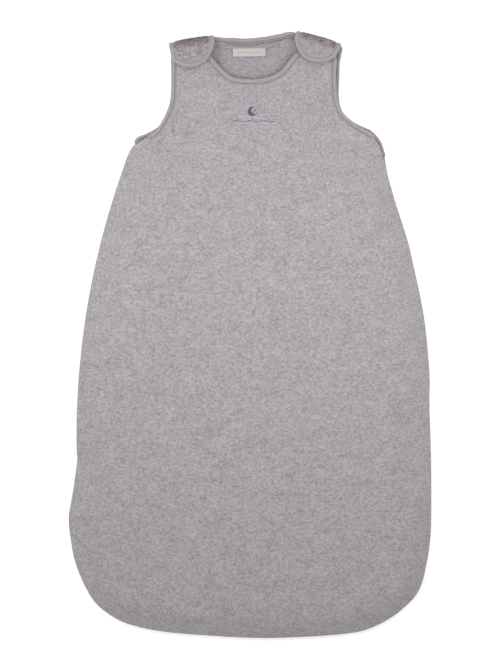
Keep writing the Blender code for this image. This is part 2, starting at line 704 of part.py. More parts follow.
def zip_slider():
    """The slider and its pull. In the slider's own frame, +X points out of the bag's side, and
    +Y down the zip; its origin is on the chain."""
    place = zip_point(ZIP_SLIDER_Y, ZIP_CHAIN_RADIUS)
    rise = math.asin((ZIP_SLIDER_Y - ZIP_CENTRE.y) / ZIP_CHAIN_RADIUS)
    frame = Matrix.Translation((place.x * MM, place.y * MM, ZIP_CHAIN_Z * MM))
    frame @= Matrix.Rotation(math.pi - rise, 4, "Z")
    slide_pivot = pivot("pivot_zip_slider", (*ZIP_CENTRE, ZIP_CHAIN_Z))
    length, height, inner, outer = (
        SLIDER_HALF_LENGTH, SLIDER_HALF_HEIGHT, SLIDER_INNER, SLIDER_OUTER)
    bridge = inner + 0.2
    lug_low, lug_high, lug_reach = 1.1, 1.8, 3.9
    plates = [
        local_box((inner, -length, -height), (outer, length, height), frame),
        local_box((-outer, -length, -height), (-inner, length, height), frame),
        local_box((-bridge, 0.3 - length, -0.4), (bridge, 2.1 - length, 0.4), frame),
        local_box((outer - 0.3, -2.2, -lug_high), (lug_reach, 0.2, -lug_low), frame),
        local_box((outer - 0.3, -2.2, lug_low), (lug_reach, 0.2, lug_high), frame),
    ]
    joined(plates, "zip_slider", "zip_metal", slide_pivot)
    axis_point = frame @ Vector((PULL_AXIS_X * MM, PULL_AXIS_Y * MM, 0))
    pull_pivot = pivot("pivot_zip_pull", axis_point / MM)
    pull_pivot.parent = slide_pivot
    pull_pivot.matrix_parent_inverse = slide_pivot.matrix_world.inverted()
    bpy.context.view_layer.update()
    neck_half, grip_half = 0.8, 2.2
    blocks = [
        local_box((PULL_INNER, 1.4, -grip_half), (PULL_OUTER, PULL_LENGTH, grip_half), frame),
        local_box((PULL_INNER, -1.5, -neck_half), (PULL_OUTER, 1.8, neck_half), frame),
    ]
    joined(blocks, "zip_pull", "zip_metal", pull_pivot)


for old in list(bpy.data.objects):
    bpy.data.objects.remove(old, do_unlink=True)
parts = bpy.data.collections.new("baby_sleeping_bag")
cutters = bpy.data.collections.new("cutters")
bpy.context.scene.collection.children.link(parts)
bpy.context.scene.collection.children.link(cutters)

front_cloth = front_panel()
back_panel()
bindings(front_cloth)
neck_trimmings()
motif(front_cloth)
for tab_side, tab_shape in TABS.items():
    shoulder_tab(tab_side, tab_shape)
zip_chain()
zip_slider()
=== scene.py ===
"""Looks of the baby sleeping bag. Lengths are in millimetres until a mesh is made."""
import itertools
import json
import math

import bmesh
import bpy
import numpy as np
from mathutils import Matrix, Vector, noise
from mathutils.bvhtree import BVHTree
from mathutils.geometry import delaunay_2d_cdt


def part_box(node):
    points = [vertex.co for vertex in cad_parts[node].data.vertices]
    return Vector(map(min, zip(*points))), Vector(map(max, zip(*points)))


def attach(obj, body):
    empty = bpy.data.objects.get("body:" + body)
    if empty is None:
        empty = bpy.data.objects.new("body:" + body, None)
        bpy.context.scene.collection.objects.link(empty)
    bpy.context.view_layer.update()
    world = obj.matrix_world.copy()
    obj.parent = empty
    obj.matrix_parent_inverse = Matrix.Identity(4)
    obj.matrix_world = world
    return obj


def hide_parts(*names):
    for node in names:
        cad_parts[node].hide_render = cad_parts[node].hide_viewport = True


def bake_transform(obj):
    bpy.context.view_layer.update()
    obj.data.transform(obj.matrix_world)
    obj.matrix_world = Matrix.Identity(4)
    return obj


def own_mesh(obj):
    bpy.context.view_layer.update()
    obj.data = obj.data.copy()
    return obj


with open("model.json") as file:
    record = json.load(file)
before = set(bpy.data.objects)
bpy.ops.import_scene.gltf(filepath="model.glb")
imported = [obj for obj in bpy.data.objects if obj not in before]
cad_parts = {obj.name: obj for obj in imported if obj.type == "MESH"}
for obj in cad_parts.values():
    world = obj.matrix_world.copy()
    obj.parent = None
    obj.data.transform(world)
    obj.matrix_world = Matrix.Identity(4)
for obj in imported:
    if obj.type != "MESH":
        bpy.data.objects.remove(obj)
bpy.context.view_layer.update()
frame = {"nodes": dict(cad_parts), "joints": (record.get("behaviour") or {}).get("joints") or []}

MM = 0.001
M = 1000.0

# Cloth lattice, edge rounding, and the profile that the front's height follows from its edges.
CLOTH_SPACING = 4.2
LINING_SPACING = 8.0
EDGE_STEP = 4.0
EDGE_ROUNDING = 1.5
CLEARANCE = 0.3
CORNER_TURN = math.radians(38)
OPEN_REACH = 110.0
SEWN_REACH = 34.0
BACK_RIM_REACH = 10.0
EDGE_DROOP = 0.15

# Bindings: folded cloth over the raw edge, sewn through a ditch beside its inner edge.
BINDING_WIDTH = 6.2
BINDING_WIDTHS = {"front_neck_binding": 7.4, "back_neck_binding": 6.8}
TAB_BINDING_WIDTH = 8.0
TAB_BINDING_OFFSET = 1.2
TAB_BINDING_HEIGHT = 3.4
TAB_DITCH = 3.5
BINDING_HEIGHT = 3.8
BINDING_OFFSET = 2.5
BINDING_STEP = 1.5
BINDING_TAPER = 3.0
DITCH = 1.9
STRAP_CORNER_REACH = 4.0
TUCK_LENGTH = 9.0
TUCK_DEPTH = 3.6
TUCK_SINK = 1.4
STITCH_LENGTH = 2.2
STITCH_GAP = 0.5
STITCH_RADIUS = 0.30
ROD_SIDES = 6
BACK_BINDING_Z = 2.2
CAD_BINDING_REACH = 4.4

# The front's fullness: its coarse mesh, the frames it settles in, how far it may stand off, how
# wide a rim it fades in over, the waves it starts from (height, length, seed), and its cloth,
# which is 1.8 % too big for its edges and blown up a little.
PUFF_SPACING = 9.0
PUFF_FRAMES = 20
PUFF_CAP = 2.2
PUFF_RIM = 18.0
PUFF_WAVES = ((0.25, 34.0, 0.0), (0.15, 15.0, 7.0))
PUFF_CLOTH = {
    "vertex_group_mass": "pins", "quality": 4, "mass": 0.25, "tension_stiffness": 12,
    "compression_stiffness": 12, "shear_stiffness": 4, "bending_stiffness": 0.6,
    "shrink_min": -0.018, "use_pressure": True, "uniform_pressure_force": 1.2,
}

# Distances of a shoulder tab's layers from the axis it folds about; the fold's half length and
# how far it droops at the armhole.
FOLD_RADIUS = 8.3
FOLD_HALF = 27.0
FOLD_DROOP = 1.8
TAB_LINING_FROM = 6.5
TAB_PLUSH_FROM = 8.5
TAB_PLUSH_THICKNESS = 1.7

# The zip's coils: wire, loop and pitch.
COIL_PITCH = 1.3
COIL_STEPS = 10
COIL_HEAD = 0.75
WIRE_RADIUS = 0.3

# The floor's share of light at the middle, which the cloth colours are set for.
LIGHT = 1.07

# The camera looks straight down on 575 x 770 mm of floor.
VIEW_LENGTH = 769.6
LENS = 100.0
SENSOR = 36.0

# The stage, in metres: floor, the camera's reach, all-round light, and lamps as (place, aim).
FLOOR_SIZE = 400.0
CLIP_END = 500.0
FLOOR_Z = -0.0006
WORLD_STRENGTH = 0.52
KEY_SIZE = (1.2, 0.3)
KEY_WATTS = 2.85
KEY_PLACE = ((0.0, 0.15, 0.6), (0.0, 0.15, 0.0))
FILL_STRENGTH = 0.35
FILL_PLACE = ((-0.5, 0.5, 0.8), (0.0, 0.0, 0.0))
WHITE = (1.0, 1.0, 1.0, 1.0)

# At the underarms the cloth rolls out over its binding: CAD outline corners and their new places.
FRONT_UNDERARMS = [
    ((-114.1, 223.5), (-113.3, 228.2)), ((-121.7, 218.9), (-120.5, 225.2)),
    ((-128.1, 213.3), (-127.6, 220.7)), ((-134.8, 207.1), (-137.0, 212.4)),
    ((136.5, 226.2), (139.5, 230.6)), ((144.6, 216.8), (147.6, 218.0)),
    ((148.5, 207.8), (151.8, 206.6)),
]
BACK_UNDERARM = [
    ((-125.4, 222.9), (-127.0, 223.2)), ((-132.4, 216.0), (-135.6, 217.0)),
    ((-135.0, 209.5), (-139.4, 210.6)), ((-139.2, 208.0), (-142.2, 204.2)),
]

# Where bindings end otherwise than at their seams: for each, path points cut from its start,
# more points before it, and the same for its end.
BINDING_ENDS = {
    "back_neck_binding": (
        10, [(54.5, 343.6, 4.0), (50.0, 345.3, 3.8), (45.0, 345.4, 3.6), (40.5, 345.0, 3.4)],
        10, [(-35.5, 339.4, 3.4), (-39.5, 340.0, 3.7), (-44.0, 339.4, 4.0)]),
    "front_armhole_binding_right": (10, [(142.6, 225.0, 10.0), (140.8, 227.2, 11.6)], 0, []),
    "front_armhole_binding_left": (0, [], 15, [(-115.0, 225.2, 11.6), (-118.0, 222.6, 10.0)]),
    "back_armhole_binding_left": (
        8, [(-88.7, 332.5, 4.0), (-88.5, 329.5, 2.8), (-88.2, 324.5, 2.5), (-88.0, 319.0, 2.4)],
        17, [(-123.6, 226.9, 2.6), (-126.6, 225.9, 2.9), (-129.2, 224.0, 3.2),
             (-130.8, 221.2, 3.2), (-130.6, 218.6, 3.0)]),
    "back_armhole_binding_right": (0, [], 8, [
        (101.7, 319.5, 2.4), (102.8, 325.5, 2.5), (103.8, 330.5, 2.8), (104.2, 333.5, 4.0)]),
}

# Soft creases pressed into the front, as (start, end, width, depth).
CREASES = [
    ((-89.2, 252.0), (-88.0, 231.5), 1.0, -2.8),
    ((-86.6, 252.0), (-85.4, 231.0), 1.2, 0.5),
    ((96.4, 262.0), (98.5, 238.0), 1.0, -1.8),
    ((-113.0, 226.0), (-105.0, 218.5), 1.1, 0.6),
    ((-110.0, 226.5), (-101.0, 217.5), 0.9, -2.2),
    ((-98.5, 225.5), (-105.5, 219.5), 0.9, -1.8),
    ((-118.0, 221.0), (-109.0, 212.0), 1.4, -0.6),
    ((-204.0, -230.5), (-195.0, -238.5), 1.3, -2.6),
    ((-196.0, -231.0), (-188.0, -240.0), 3.0, 0.9),
    ((-203.0, -241.0), (-192.0, -246.0), 1.6, -0.8),
    ((-204.0, -205.0), (-190.0, -208.0), 2.6, 0.8),
    ((-203.0, -214.0), (-186.0, -220.0), 2.6, -0.8),
    ((206.0, -160.0), (190.0, -166.0), 3.0, -0.7),
    ((207.0, -186.0), (192.0, -188.0), 3.0, 0.7),
    ((207.0, -212.0), (190.0, -208.0), 3.0, -0.7),
    ((205.0, -236.0), (188.0, -228.0), 3.0, 0.6),
    ((-36.0, 296.0), (-30.0, 282.0), 2.6, 0.4),
    ((42.0, 296.0), (36.0, 282.0), 2.6, 0.4),
]


# Reading the frame


def cad_mesh(node):
    """A CAD node's mesh with its split corners joined."""
    bm = bmesh.new()
    bm.from_mesh(frame["nodes"][node].data)
    bmesh.ops.scale(bm, vec=(M, M, M), verts=bm.verts)
    bmesh.ops.remove_doubles(bm, verts=bm.verts, dist=0.02)
    bm.normal_update()
    return bm


def joint_called(name):
    """A joint's row in the frame."""
    return next(j for j in frame["joints"] if j["name"] == name)


def cad_points(node):
    """Every corner of a CAD node."""
    return np.array([v.co for v in frame["nodes"][node].data.vertices], float) * M


def cad_box(node):
    """A CAD node's lowest and highest corner."""
    return [np.array(corner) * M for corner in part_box(node)]


def cad_outline(node):
    """The lower edge of a flat node's wall, counter-clockwise, and the node's thickness."""
    bm = cad_mesh(node)
    links = {}
    for edge in bm.edges:
        under = [face.normal.z < -0.1 for face in edge.link_faces]
        if len(under) == 2 and under[0] != under[1]:
            a, b = edge.verts
            links.setdefault(a.index, []).append(b.index)
            links.setdefault(b.index, []).append(a.index)
    bm.verts.ensure_lookup_table()
    start = next(iter(links))
    ring = [start]
    while True:
        onward = [i for i in links[ring[-1]] if i not in ring[-2:]]
        if not onward or onward[0] == start:
            break
        ring.append(onward[0])
    points = np.array([bm.verts[i].co for i in ring])
    corner = bm.verts[start]
    rises = [
        edge.other_vert(corner).co.z - corner.co.z for edge in corner.link_edges
        if (edge.other_vert(corner).co - corner.co).xy.length < 0.02
    ]
    bm.free()
    x, y = points[:, 0], points[:, 1]
    if np.sum(x * np.roll(y, -1) - np.roll(x, -1) * y) < 0:
        points = points[::-1]
    return points, max(rises)


# Paths


def through(points, step):
    """Points about one step apart on a centripetal Catmull-Rom curve through an open path."""
    p = np.asarray(points, float)
    p = np.concatenate([[2 * p[0] - p[1]], p, [2 * p[-1] - p[-2]]])
    out = []
    for a, b, c, d in zip(p, p[1:], p[2:], p[3:]):
        t1 = math.sqrt(np.linalg.norm(b - a))
        t2 = t1 + math.sqrt(np.linalg.norm(c - b))
        t3 = t2 + math.sqrt(np.linalg.norm(d - c))
        count = max(1, round(float(np.linalg.norm(c - b)) / step))
        for t in t1 + (t2 - t1) * np.arange(count) / count:
            ab = (t1 - t) / t1 * a + t / t1 * b
            bc = (t2 - t) / (t2 - t1) * b + (t - t1) / (t2 - t1) * c
            cd = (t3 - t) / (t3 - t2) * c + (t - t2) / (t3 - t2) * d
            abc = (t2 - t) / t2 * ab + t / t2 * bc
            bcd = (t3 - t) / (t3 - t1) * bc + (t - t1) / (t3 - t1) * cd
            out.append((t2 - t) / (t2 - t1) * abc + (t - t1) / (t2 - t1) * bcd)
    out.append(p[-2])
    return np.array(out)


def smooth_loop(points, step):
    """A closed loop made smooth between its sharp corners."""
    p = np.asarray(points, float)
    before = p[:, :2] - np.roll(p[:, :2], 1, axis=0)
    after = np.roll(p[:, :2], -1, axis=0) - p[:, :2]
    cross = before[:, 0] * after[:, 1] - before[:, 1] * after[:, 0]
    turn = np.abs(np.arctan2(cross, np.sum(before * after, axis=1)))
    corners = list(np.nonzero(turn > CORNER_TURN)[0])
    out = []
    for start, end in zip(corners, corners[1:] + [corners[0] + len(p)]):
        run = np.array([p[i % len(p)] for i in range(start, end + 1)])
        out.append(through(run, step)[:-1])
    return np.concatenate(out)


def unit(rows):
    """Vectors made one unit long."""
    return rows / np.maximum(np.linalg.norm(rows, axis=-1, keepdims=True), 1e-9)


def distance_along(path):
    """How far along a path each of its points is."""
    return np.concatenate([[0], np.cumsum(np.linalg.norm(np.diff(path, axis=0), axis=1))])


def upright(path):
    """An upward unit vector for each point of a path."""
    return np.tile([0.0, 0.0, 1.0], (len(path), 1))


def normals_of(path, closed=False):
    """Unit vectors to the left of a flat path."""
    p = path[:, :2]
    if closed:
        along = unit(np.roll(p, -1, axis=0) - np.roll(p, 1, axis=0))
    else:
        along = unit(np.gradient(p, axis=0))
    return np.stack([-along[:, 1], along[:, 0]], axis=1)


def distance(xy, path, closed=False):
    """Distance from each point to a path."""
    best = np.full(len(xy), 1e9)
    ends = np.roll(path, -1, axis=0) if closed else path[1:]
    for a, b in zip(path[:, :2], ends[:, :2]):
        ab = b - a
        t = np.clip((xy - a) @ ab / max(ab @ ab, 1e-12), 0, 1)
        best = np.minimum(best, np.linalg.norm(xy - a - t[:, None] * ab, axis=1))
    return best


def inside(xy, loop):
    """Which points are inside a closed loop."""
    odd = np.zeros(len(xy), bool)
    for a, b in zip(loop, np.roll(loop, -1, axis=0)):
        if a[1] != b[1]:
            spans = (a[1] > xy[:, 1]) != (b[1] > xy[:, 1])
            at = a[0] + (xy[:, 1] - a[1]) * (b[0] - a[0]) / (b[1] - a[1])
            odd ^= spans & (xy[:, 0] < at)
    return odd


# Meshes


def add_object(name, verts, faces):
    """A mesh object from corners in millimetres."""
    mesh = bpy.data.meshes.new(name)
    mesh.from_pydata([tuple(v) for v in np.asarray(verts, float) * MM], [], faces)
    mesh.validate()
    mesh.shade_smooth()
    obj = bpy.data.objects.new(name, mesh)
    bpy.context.scene.collection.objects.link(obj)
    return obj


def lattice(loop, spacing, rings, extra=()):
    """Points and triangles inside a loop: the loop first, then rings, then an even grid that
    leaves room for the extra points."""
    xy = loop[:, :2]
    layers = [xy]
    inward = normals_of(loop, closed=True)
    for depth in rings:
        ring = xy + depth * inward
        layers.append(ring[(distance(ring, xy, True) > 0.96 * depth) & inside(ring, xy)])
    low, high = xy.min(0), xy.max(0)
    row_height = spacing * math.sqrt(0.75)
    ys = np.arange(low[1], high[1], row_height)
    xs = np.arange(low[0], high[0], spacing)
    grid = np.array([(x + 0.5 * spacing * (i % 2), y) for i, y in enumerate(ys) for x in xs])
    grid = grid[inside(grid, xy)]
    deepest = rings[-1] if rings else 0
    grid = grid[distance(grid, xy, True) > deepest + 0.55 * spacing]
    if len(extra):
        extra = extra[inside(extra, xy)]
        extra = extra[distance(extra, xy, True) > deepest + 0.4]
        gaps = [np.linalg.norm(extra - point, axis=1).min() for point in grid]
        grid = grid[np.array(gaps) > 0.5 * spacing]
        layers.append(extra)
    layers.append(grid)
    points = np.concatenate(layers)
    found = delaunay_2d_cdt(
        [Vector(p) for p in points], [], [list(range(len(xy)))], 1, 1e-6)
    return np.array([tuple(v) for v in found[0]]), [tuple(f) for f in found[2]]


def cushion(depth, rounding, thickness):
    """Half the thickness of cloth at a distance from its rounded edge."""
    part = np.clip(depth / rounding, 0, 1)
    return thickness / 2 * np.sqrt(1 - (1 - part) ** 2)


def two_sided(name, upper, lower, faces, edge):
    """A closed piece of cloth from its two sides, which meet at the edge points."""
    below = np.where(edge, np.arange(len(upper)), len(upper) + np.cumsum(~edge) - 1)
    under = [tuple(int(below[i]) for i in face[::-1]) for face in faces]
    return add_object(name, np.concatenate([upper, lower[~edge]]), list(faces) + under)


def slab(name, loop, spacing, middle, thickness, rounding, extra=()):
    """A closed piece of cloth about a middle surface, with rounded edges."""
    rings = [0.12 * rounding, 0.4 * rounding, rounding, 2.4 * rounding]
    xy, faces = lattice(loop, spacing, rings, extra)
    depth = distance(xy, loop, True)
    half = cushion(depth, rounding, thickness)
    z = middle(xy)
    upper = np.column_stack([xy, z + half])
    lower = np.column_stack([xy, z - half])
    return two_sided(name, upper, lower, faces, depth < 1e-3)


def add_closed(name, verts, faces):
    """A closed mesh object, its faces turned outwards."""
    obj = add_object(name, verts, faces)
    bm = bmesh.new()
    bm.from_mesh(obj.data)
    bmesh.ops.recalc_face_normals(bm, faces=bm.faces)
    bm.to_mesh(obj.data)
    bm.free()
    return obj


def tube_faces(base, rings, sides):
    """Faces of a closed tube of rings whose first corner has the number base."""
    faces = []
    for a in range(base, base + (rings - 1) * sides, sides):
        for i in range(sides):
            j = (i + 1) % sides
            faces.append((a + i, a + sides + i, a + sides + j, a + j))
    end = base + (rings - 1) * sides
    return faces + [tuple(range(base, base + sides)), tuple(range(end, end + sides))[::-1]]


def sweep(name, path, sections, uprights=None):
    """A closed tube: section k, as (outward, up) pairs, is placed at path point k."""
    path = np.asarray(path, float)
    along = unit(np.gradient(path, axis=0))
    side = unit(np.cross(along, upright(path) if uprights is None else uprights))
    up = np.cross(side, along)
    verts = [path[k] + u * side[k] + v * up[k]
             for k, section in enumerate(sections) for u, v in section]
    return add_closed(name, verts, tube_faces(0, len(path), len(sections[0])))


def add_rod(verts, faces, centres, radii, side, up):
    """Add a thin rod through several centres."""
    faces += tube_faces(len(verts), len(centres), ROD_SIDES)
    angles = 2 * math.pi * np.arange(ROD_SIDES) / ROD_SIDES
    circle = np.outer(np.cos(angles), side) + np.outer(np.sin(angles), up)
    for centre, radius in zip(centres, radii):
        verts.extend(centre + radius * circle)


def dashes(name, path, ups, length, gap, radius):
    """Stitches along a path: short rods that dip into the cloth at both ends."""
    path = np.asarray(path, float)
    run = distance_along(path)
    verts, faces = [], []
    start = 0.5 * gap
    while start + length < run[-1]:
        stations = start + length * np.array([0.0, 0.2, 0.5, 0.8, 1.0])
        centres = np.array([np.interp(stations, run, path[:, k]) for k in range(3)]).T
        up = np.array([np.interp(stations[2], run, ups[:, k]) for k in range(3)])
        centres -= np.outer([0.9, 0.2, 0.0, 0.2, 0.9], up) * radius
        side = unit(np.cross(centres[-1] - centres[0], up))
        radii = radius * np.array([0.35, 0.9, 1.0, 0.9, 0.35])
        add_rod(verts, faces, centres, radii, side, up)
        start += length + gap
    return add_closed(name, verts, faces)


def wander(points, scale, seed=0.0):
    """Smooth noise from -1 to 1 at each flat point."""
    return np.array([noise.noise(Vector((x / scale + seed, y / scale, 0.37))) for x, y in points])


# Materials


def seen(*srgb):
    """The surface colour that shows as an sRGB colour in the stage's light."""
    return tuple(((c / 255 + 0.055) / 1.055) ** 2.4 / LIGHT for c in srgb)


def nodes_for(name):
    """A new material with its node tree and shader."""
    made = bpy.data.materials.new(name)
    made.use_nodes = True
    tree = made.node_tree
    return made, tree, tree.nodes["Principled BSDF"]


def feed(tree, socket, value):
    """Link an input to another node's output, or set it to a plain value."""
    if isinstance(value, bpy.types.NodeSocket):
        tree.links.new(value, socket)
    else:
        socket.default_value = value


def put_in(tree, node, **values):
    """Feed a node's inputs, whose names are written with underscores."""
    for name, value in values.items():
        feed(tree, node.inputs[name.replace("_", " ")], value)
    return node


def place_scaled(tree, scale=(1.0, 1.0, 1.0)):
    """Object coordinates, stretched."""
    coords = tree.nodes.new("ShaderNodeTexCoord").outputs["Object"]
    mapping = put_in(tree, tree.nodes.new("ShaderNodeMapping"), Vector=coords, Scale=scale)
    return mapping.outputs["Vector"]


def noise_node(tree, vector, scale, detail, roughness):
    """A noise texture's value."""
    texture = put_in(tree, tree.nodes.new("ShaderNodeTexNoise"), Vector=vector, Scale=scale,
                     Detail=detail, Roughness=roughness)
    return texture.outputs["Fac"]


def wave_node(tree, vector, direction, scale, distortion, detail_scale=1.0):
    """A wave texture's value, with its bands along one axis."""
    texture = put_in(tree, tree.nodes.new("ShaderNodeTexWave"), Vector=vector, Scale=scale,
                     Distortion=distortion, Detail_Scale=detail_scale)
    texture.bands_direction = direction
    return texture.outputs["Fac"]


def shade(tree, shader, value, stops, **sockets):
    """Colour a shader by a ramp of (position, colour) stops over a value, and set its plain
    sockets."""
    node = put_in(tree, tree.nodes.new("ShaderNodeValToRGB"), Fac=value)
    elements = node.color_ramp.elements
    while len(elements) < len(stops):
        elements.new(0.5)
    for element, (position, colour) in zip(elements, stops):
        element.position = position
        element.color = (*colour, 1.0)
    put_in(tree, shader, Base_Color=node.outputs["Color"], **sockets)


def maths(tree, operation, a, b, kind="ShaderNodeMath"):
    """A math node's value from two inputs."""
    node = tree.nodes.new(kind)
    node.operation = operation
    for socket, value in zip(node.inputs, (a, b)):
        feed(tree, socket, value)
    return node.outputs["Value"]


def weighted(tree, *parts):
    """The sum of several values, each times its weight."""
    terms = [maths(tree, "MULTIPLY", value, weight) for value, weight in parts]
    total = terms[0]
    for term in terms[1:]:
        total = maths(tree, "ADD", total, term)
    return total


def tones(colour, darker, lighter):
    """A colour times a lower and a higher factor."""
    return tuple(c * darker for c in colour), tuple(min(1.0, c * lighter) for c in colour)


def bump(tree, shader, height, strength, depth):
    """A bump from a height value; depth is in metres."""
    node = put_in(tree, tree.nodes.new("ShaderNodeBump"), Height=height, Strength=strength,
                  Distance=depth)
    put_in(tree, shader, Normal=node.outputs["Normal"])


def heather(name, colour, contrast, fleck, stretch=(0.85, 1.15, 1.0), sheen=0.2, knit=None):
    """Heather cloth: grey fibres of two tones in small flecks, with a short soft pile."""
    made, tree, shader = nodes_for(name)
    vector = place_scaled(tree, stretch)
    coarse = noise_node(tree, vector, fleck, 3.0, 0.62)
    fine = noise_node(tree, vector, fleck * 3.0, 2.0, 0.7)
    cloudy = noise_node(tree, vector, fleck / 7.0, 2.0, 0.5)
    flecks = weighted(tree, (coarse, 0.72), (fine, 0.16), (cloudy, 0.12))
    dark, light = tones(colour, 1 - contrast, 1 + contrast)
    shade(tree, shader, flecks, [(0.33, dark), (0.5, colour), (0.67, light)],
          Roughness=0.95, Specular_IOR_Level=0.15, Sheen_Weight=sheen, Sheen_Roughness=0.6)
    height = weighted(tree, (fine, 1.0), (coarse, 0.8))
    if knit:
        height = maths(tree, "ADD", height, wave_node(tree, vector, knit, 240.0, 1.6, 3.0))
    bump(tree, shader, height, 0.5, 0.0005)
    return made


# Painted shade on plush where it turns over a fold: metres beyond the fold line, from and to, and
# how much darker.
PLUSH_FOLD_SHADE = ((-0.006, 0.011, 0.18), (0.0070, 0.0102, 0.2))


def plush(name, colour, dark, light, fold):
    """Plush with a short curled pile: small clumped tufts, with painted shade, darker and browner,
    where it turns over the fold."""
    made, tree, shader = nodes_for(name)
    vector = place_scaled(tree)
    tufts = noise_node(tree, vector, 430.0, 3.0, 0.65)
    fibres = noise_node(tree, vector, 1700.0, 2.0, 0.7)
    patches = noise_node(tree, vector, 150.0, 2.0, 0.5)
    tone = weighted(tree, (tufts, 0.55), (fibres, 0.2), (patches, 0.25))
    along = maths(tree, "DOT_PRODUCT", vector, tuple(fold["beyond"]), "ShaderNodeVectorMath")
    line = float(fold["origin"] @ fold["beyond"]) * MM
    # painted shade: the tone is lowered over the fold, where the surface turns away from the light
    for low, high, darker in PLUSH_FOLD_SHADE:
        turn = put_in(tree, tree.nodes.new("ShaderNodeMapRange"), Value=along,
                      From_Min=line + low, From_Max=line + high, To_Max=darker)
        turn.interpolation_type = "SMOOTHSTEP"
        tone = maths(tree, "SUBTRACT", tone, turn.outputs["Result"])
    shade(tree, shader, tone, [(0.26, dark), (0.5, colour), (0.7, light)],
          Roughness=1.0, Specular_IOR_Level=0.1, Sheen_Weight=0.35, Sheen_Roughness=0.5)
    bump(tree, shader, weighted(tree, (tufts, 1.0), (fibres, 0.5)), 0.7, 0.0008)
    return made


def woven(name, colour, contrast, threads, roughness=0.75):
    """Plain-woven cloth with threads along X and Y."""
    made, tree, shader = nodes_for(name)
    vector = place_scaled(tree)
    warp, weft = (wave_node(tree, vector, axis, threads, 0.6) for axis in "XY")
    height = maths(tree, "MULTIPLY", warp, weft)
    soft = noise_node(tree, vector, 420.0, 3.0, 0.6)
    dark, light = tones(colour, 1 - contrast, 1 + contrast)
    shade(tree, shader, weighted(tree, (height, 0.5), (soft, 0.5)), [(0.15, dark), (0.7, light)],
          Roughness=roughness, Specular_IOR_Level=0.25)
    bump(tree, shader, height, 0.5, 0.0002)
    return made


def grained(name, grain, stops, relief=None, **sockets):
    """A material with one noise: grain is its scale, detail and roughness, and relief is the
    strength and depth of its bump."""
    made, tree, shader = nodes_for(name)
    value = noise_node(tree, place_scaled(tree), *grain)
    shade(tree, shader, value, stops, **sockets)
    if relief:
        bump(tree, shader, value, *relief)
    return made


def thread(name, colour, roughness=0.5):
    """Twisted thread with a soft shine."""
    dark, light = tones(colour, 0.7, 1.35)
    return grained(name, (2600.0, 2.0, 0.6), [(0.35, dark), (0.65, light)], (0.5, 0.0002),
                   Roughness=roughness, Sheen_Weight=0.3)


def metal(name, colour, roughness, metallic):
    """Cast or pressed metal with faint wear and tooling."""
    made, tree, shader = nodes_for(name)
    vector = place_scaled(tree)
    grain = noise_node(tree, vector, 900.0, 3.0, 0.6)
    wear = noise_node(tree, vector, 160.0, 2.0, 0.5)
    dark, light = tones(colour, 0.85, 1.15)
    shade(tree, shader, wear, [(0.35, dark), (0.65, light)], Metallic=metallic)
    rough = maths(tree, "ADD", roughness - 0.08, maths(tree, "MULTIPLY", grain, 0.16))
    put_in(tree, shader, Roughness=rough)
    bump(tree, shader, grain, 0.15, 0.0001)
    return made


def nylon(name, colour):
    """Zip coil: monofilament nylon."""
    dark, light = tones(colour, 0.85, 1.15)
    return grained(name, (700.0, 2.0, 0.5), [(0.3, dark), (0.7, light)], Roughness=0.38)


MATERIALS = {
    "velour": heather("velour", seen(174, 169, 173), 0.36, 415.0),
    "jersey": heather("jersey", seen(174, 170, 174), 0.42, 620.0, (0.5, 1.25, 1.0), 0.1, "Y"),
    "rib": heather("rib", seen(176, 169, 173), 0.2, 700.0, (1.0, 1.0, 1.0), 0.15, "X"),
    "zip_cloth": woven("zip_cloth", seen(172, 165, 169), 0.2, 620.0),
    "woven": woven("woven", seen(212, 208, 204), 0.10, 900.0, 0.6),
    "wadding": grained("wadding", (220.0, 4.0, 0.7),
                       [(0.3, (0.72, 0.72, 0.71)), (0.65, (0.88, 0.88, 0.87))], (0.7, 0.002),
                       Roughness=1.0),
    "thread": thread("thread", seen(90, 86, 122)),
    # dark seam thread, partly real stitches and partly painted shade: darkened to stand for the
    # shadow in the bindings' ditches
    "stitch": thread("stitch", seen(92, 84, 87), 0.7),
    "tab_stitch": thread("tab_stitch", seen(142, 134, 137), 0.7),
    "tape_stitch": thread("tape_stitch", seen(158, 132, 136), 0.7),
    "label_thread": thread("label_thread", seen(122, 114, 110), 0.7),
    "zip_plastic": nylon("zip_plastic", seen(172, 168, 172)),
    "zip_metal": metal("zip_metal", seen(176, 172, 176), 0.38, 0.6),
    "popper_metal": metal("popper_metal", (0.62, 0.61, 0.59), 0.3, 1.0),
}


def dress(obj, material, slot, *replaced):
    """Give a piece its material and hide the CAD nodes it stands for. The slot is not used."""
    obj.data.materials.clear()
    obj.data.materials.append(MATERIALS[material])
    if replaced:
        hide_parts(*replaced)
    return obj


def on_body(obj, material, slot, body, *replaced):
    """Dress a piece and let it ride on a body."""
    dress(obj, material, slot, *replaced)
    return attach(obj, body)


# Front and back panels


FRONT_OUTLINE, OUTER_THICKNESS = cad_outline("front_outer")
BACK_OUTLINE, _ = cad_outline("back_outer")
FRONT_INNER, PADDING_THICKNESS = cad_outline("front_padding")
BACK_INNER, _ = cad_outline("back_padding")
LINING_INNER, LINING_THICKNESS = cad_outline("front_lining")
(_, ZIP_END_Y, _), (_, ZIP_TOP_Y, ZIP_TOP_Z) = cad_box("zip_tape_front")
PLATEAU_Z = cad_box("front_outer")[1][2] - OUTER_THICKNESS
CLOSED_Z = FRONT_OUTLINE[:, 2].min()
OPEN_Z = FRONT_OUTLINE[:, 2].max()
ZIP_Z = ZIP_TOP_Z + CLEARANCE
PADDING_DEPTH = CLEARANCE + PADDING_THICKNESS
LINING_DEPTH = PADDING_DEPTH + CLEARANCE + LINING_THICKNESS
BACK_RISE = cad_box("back_outer")[1][2] - OUTER_THICKNESS


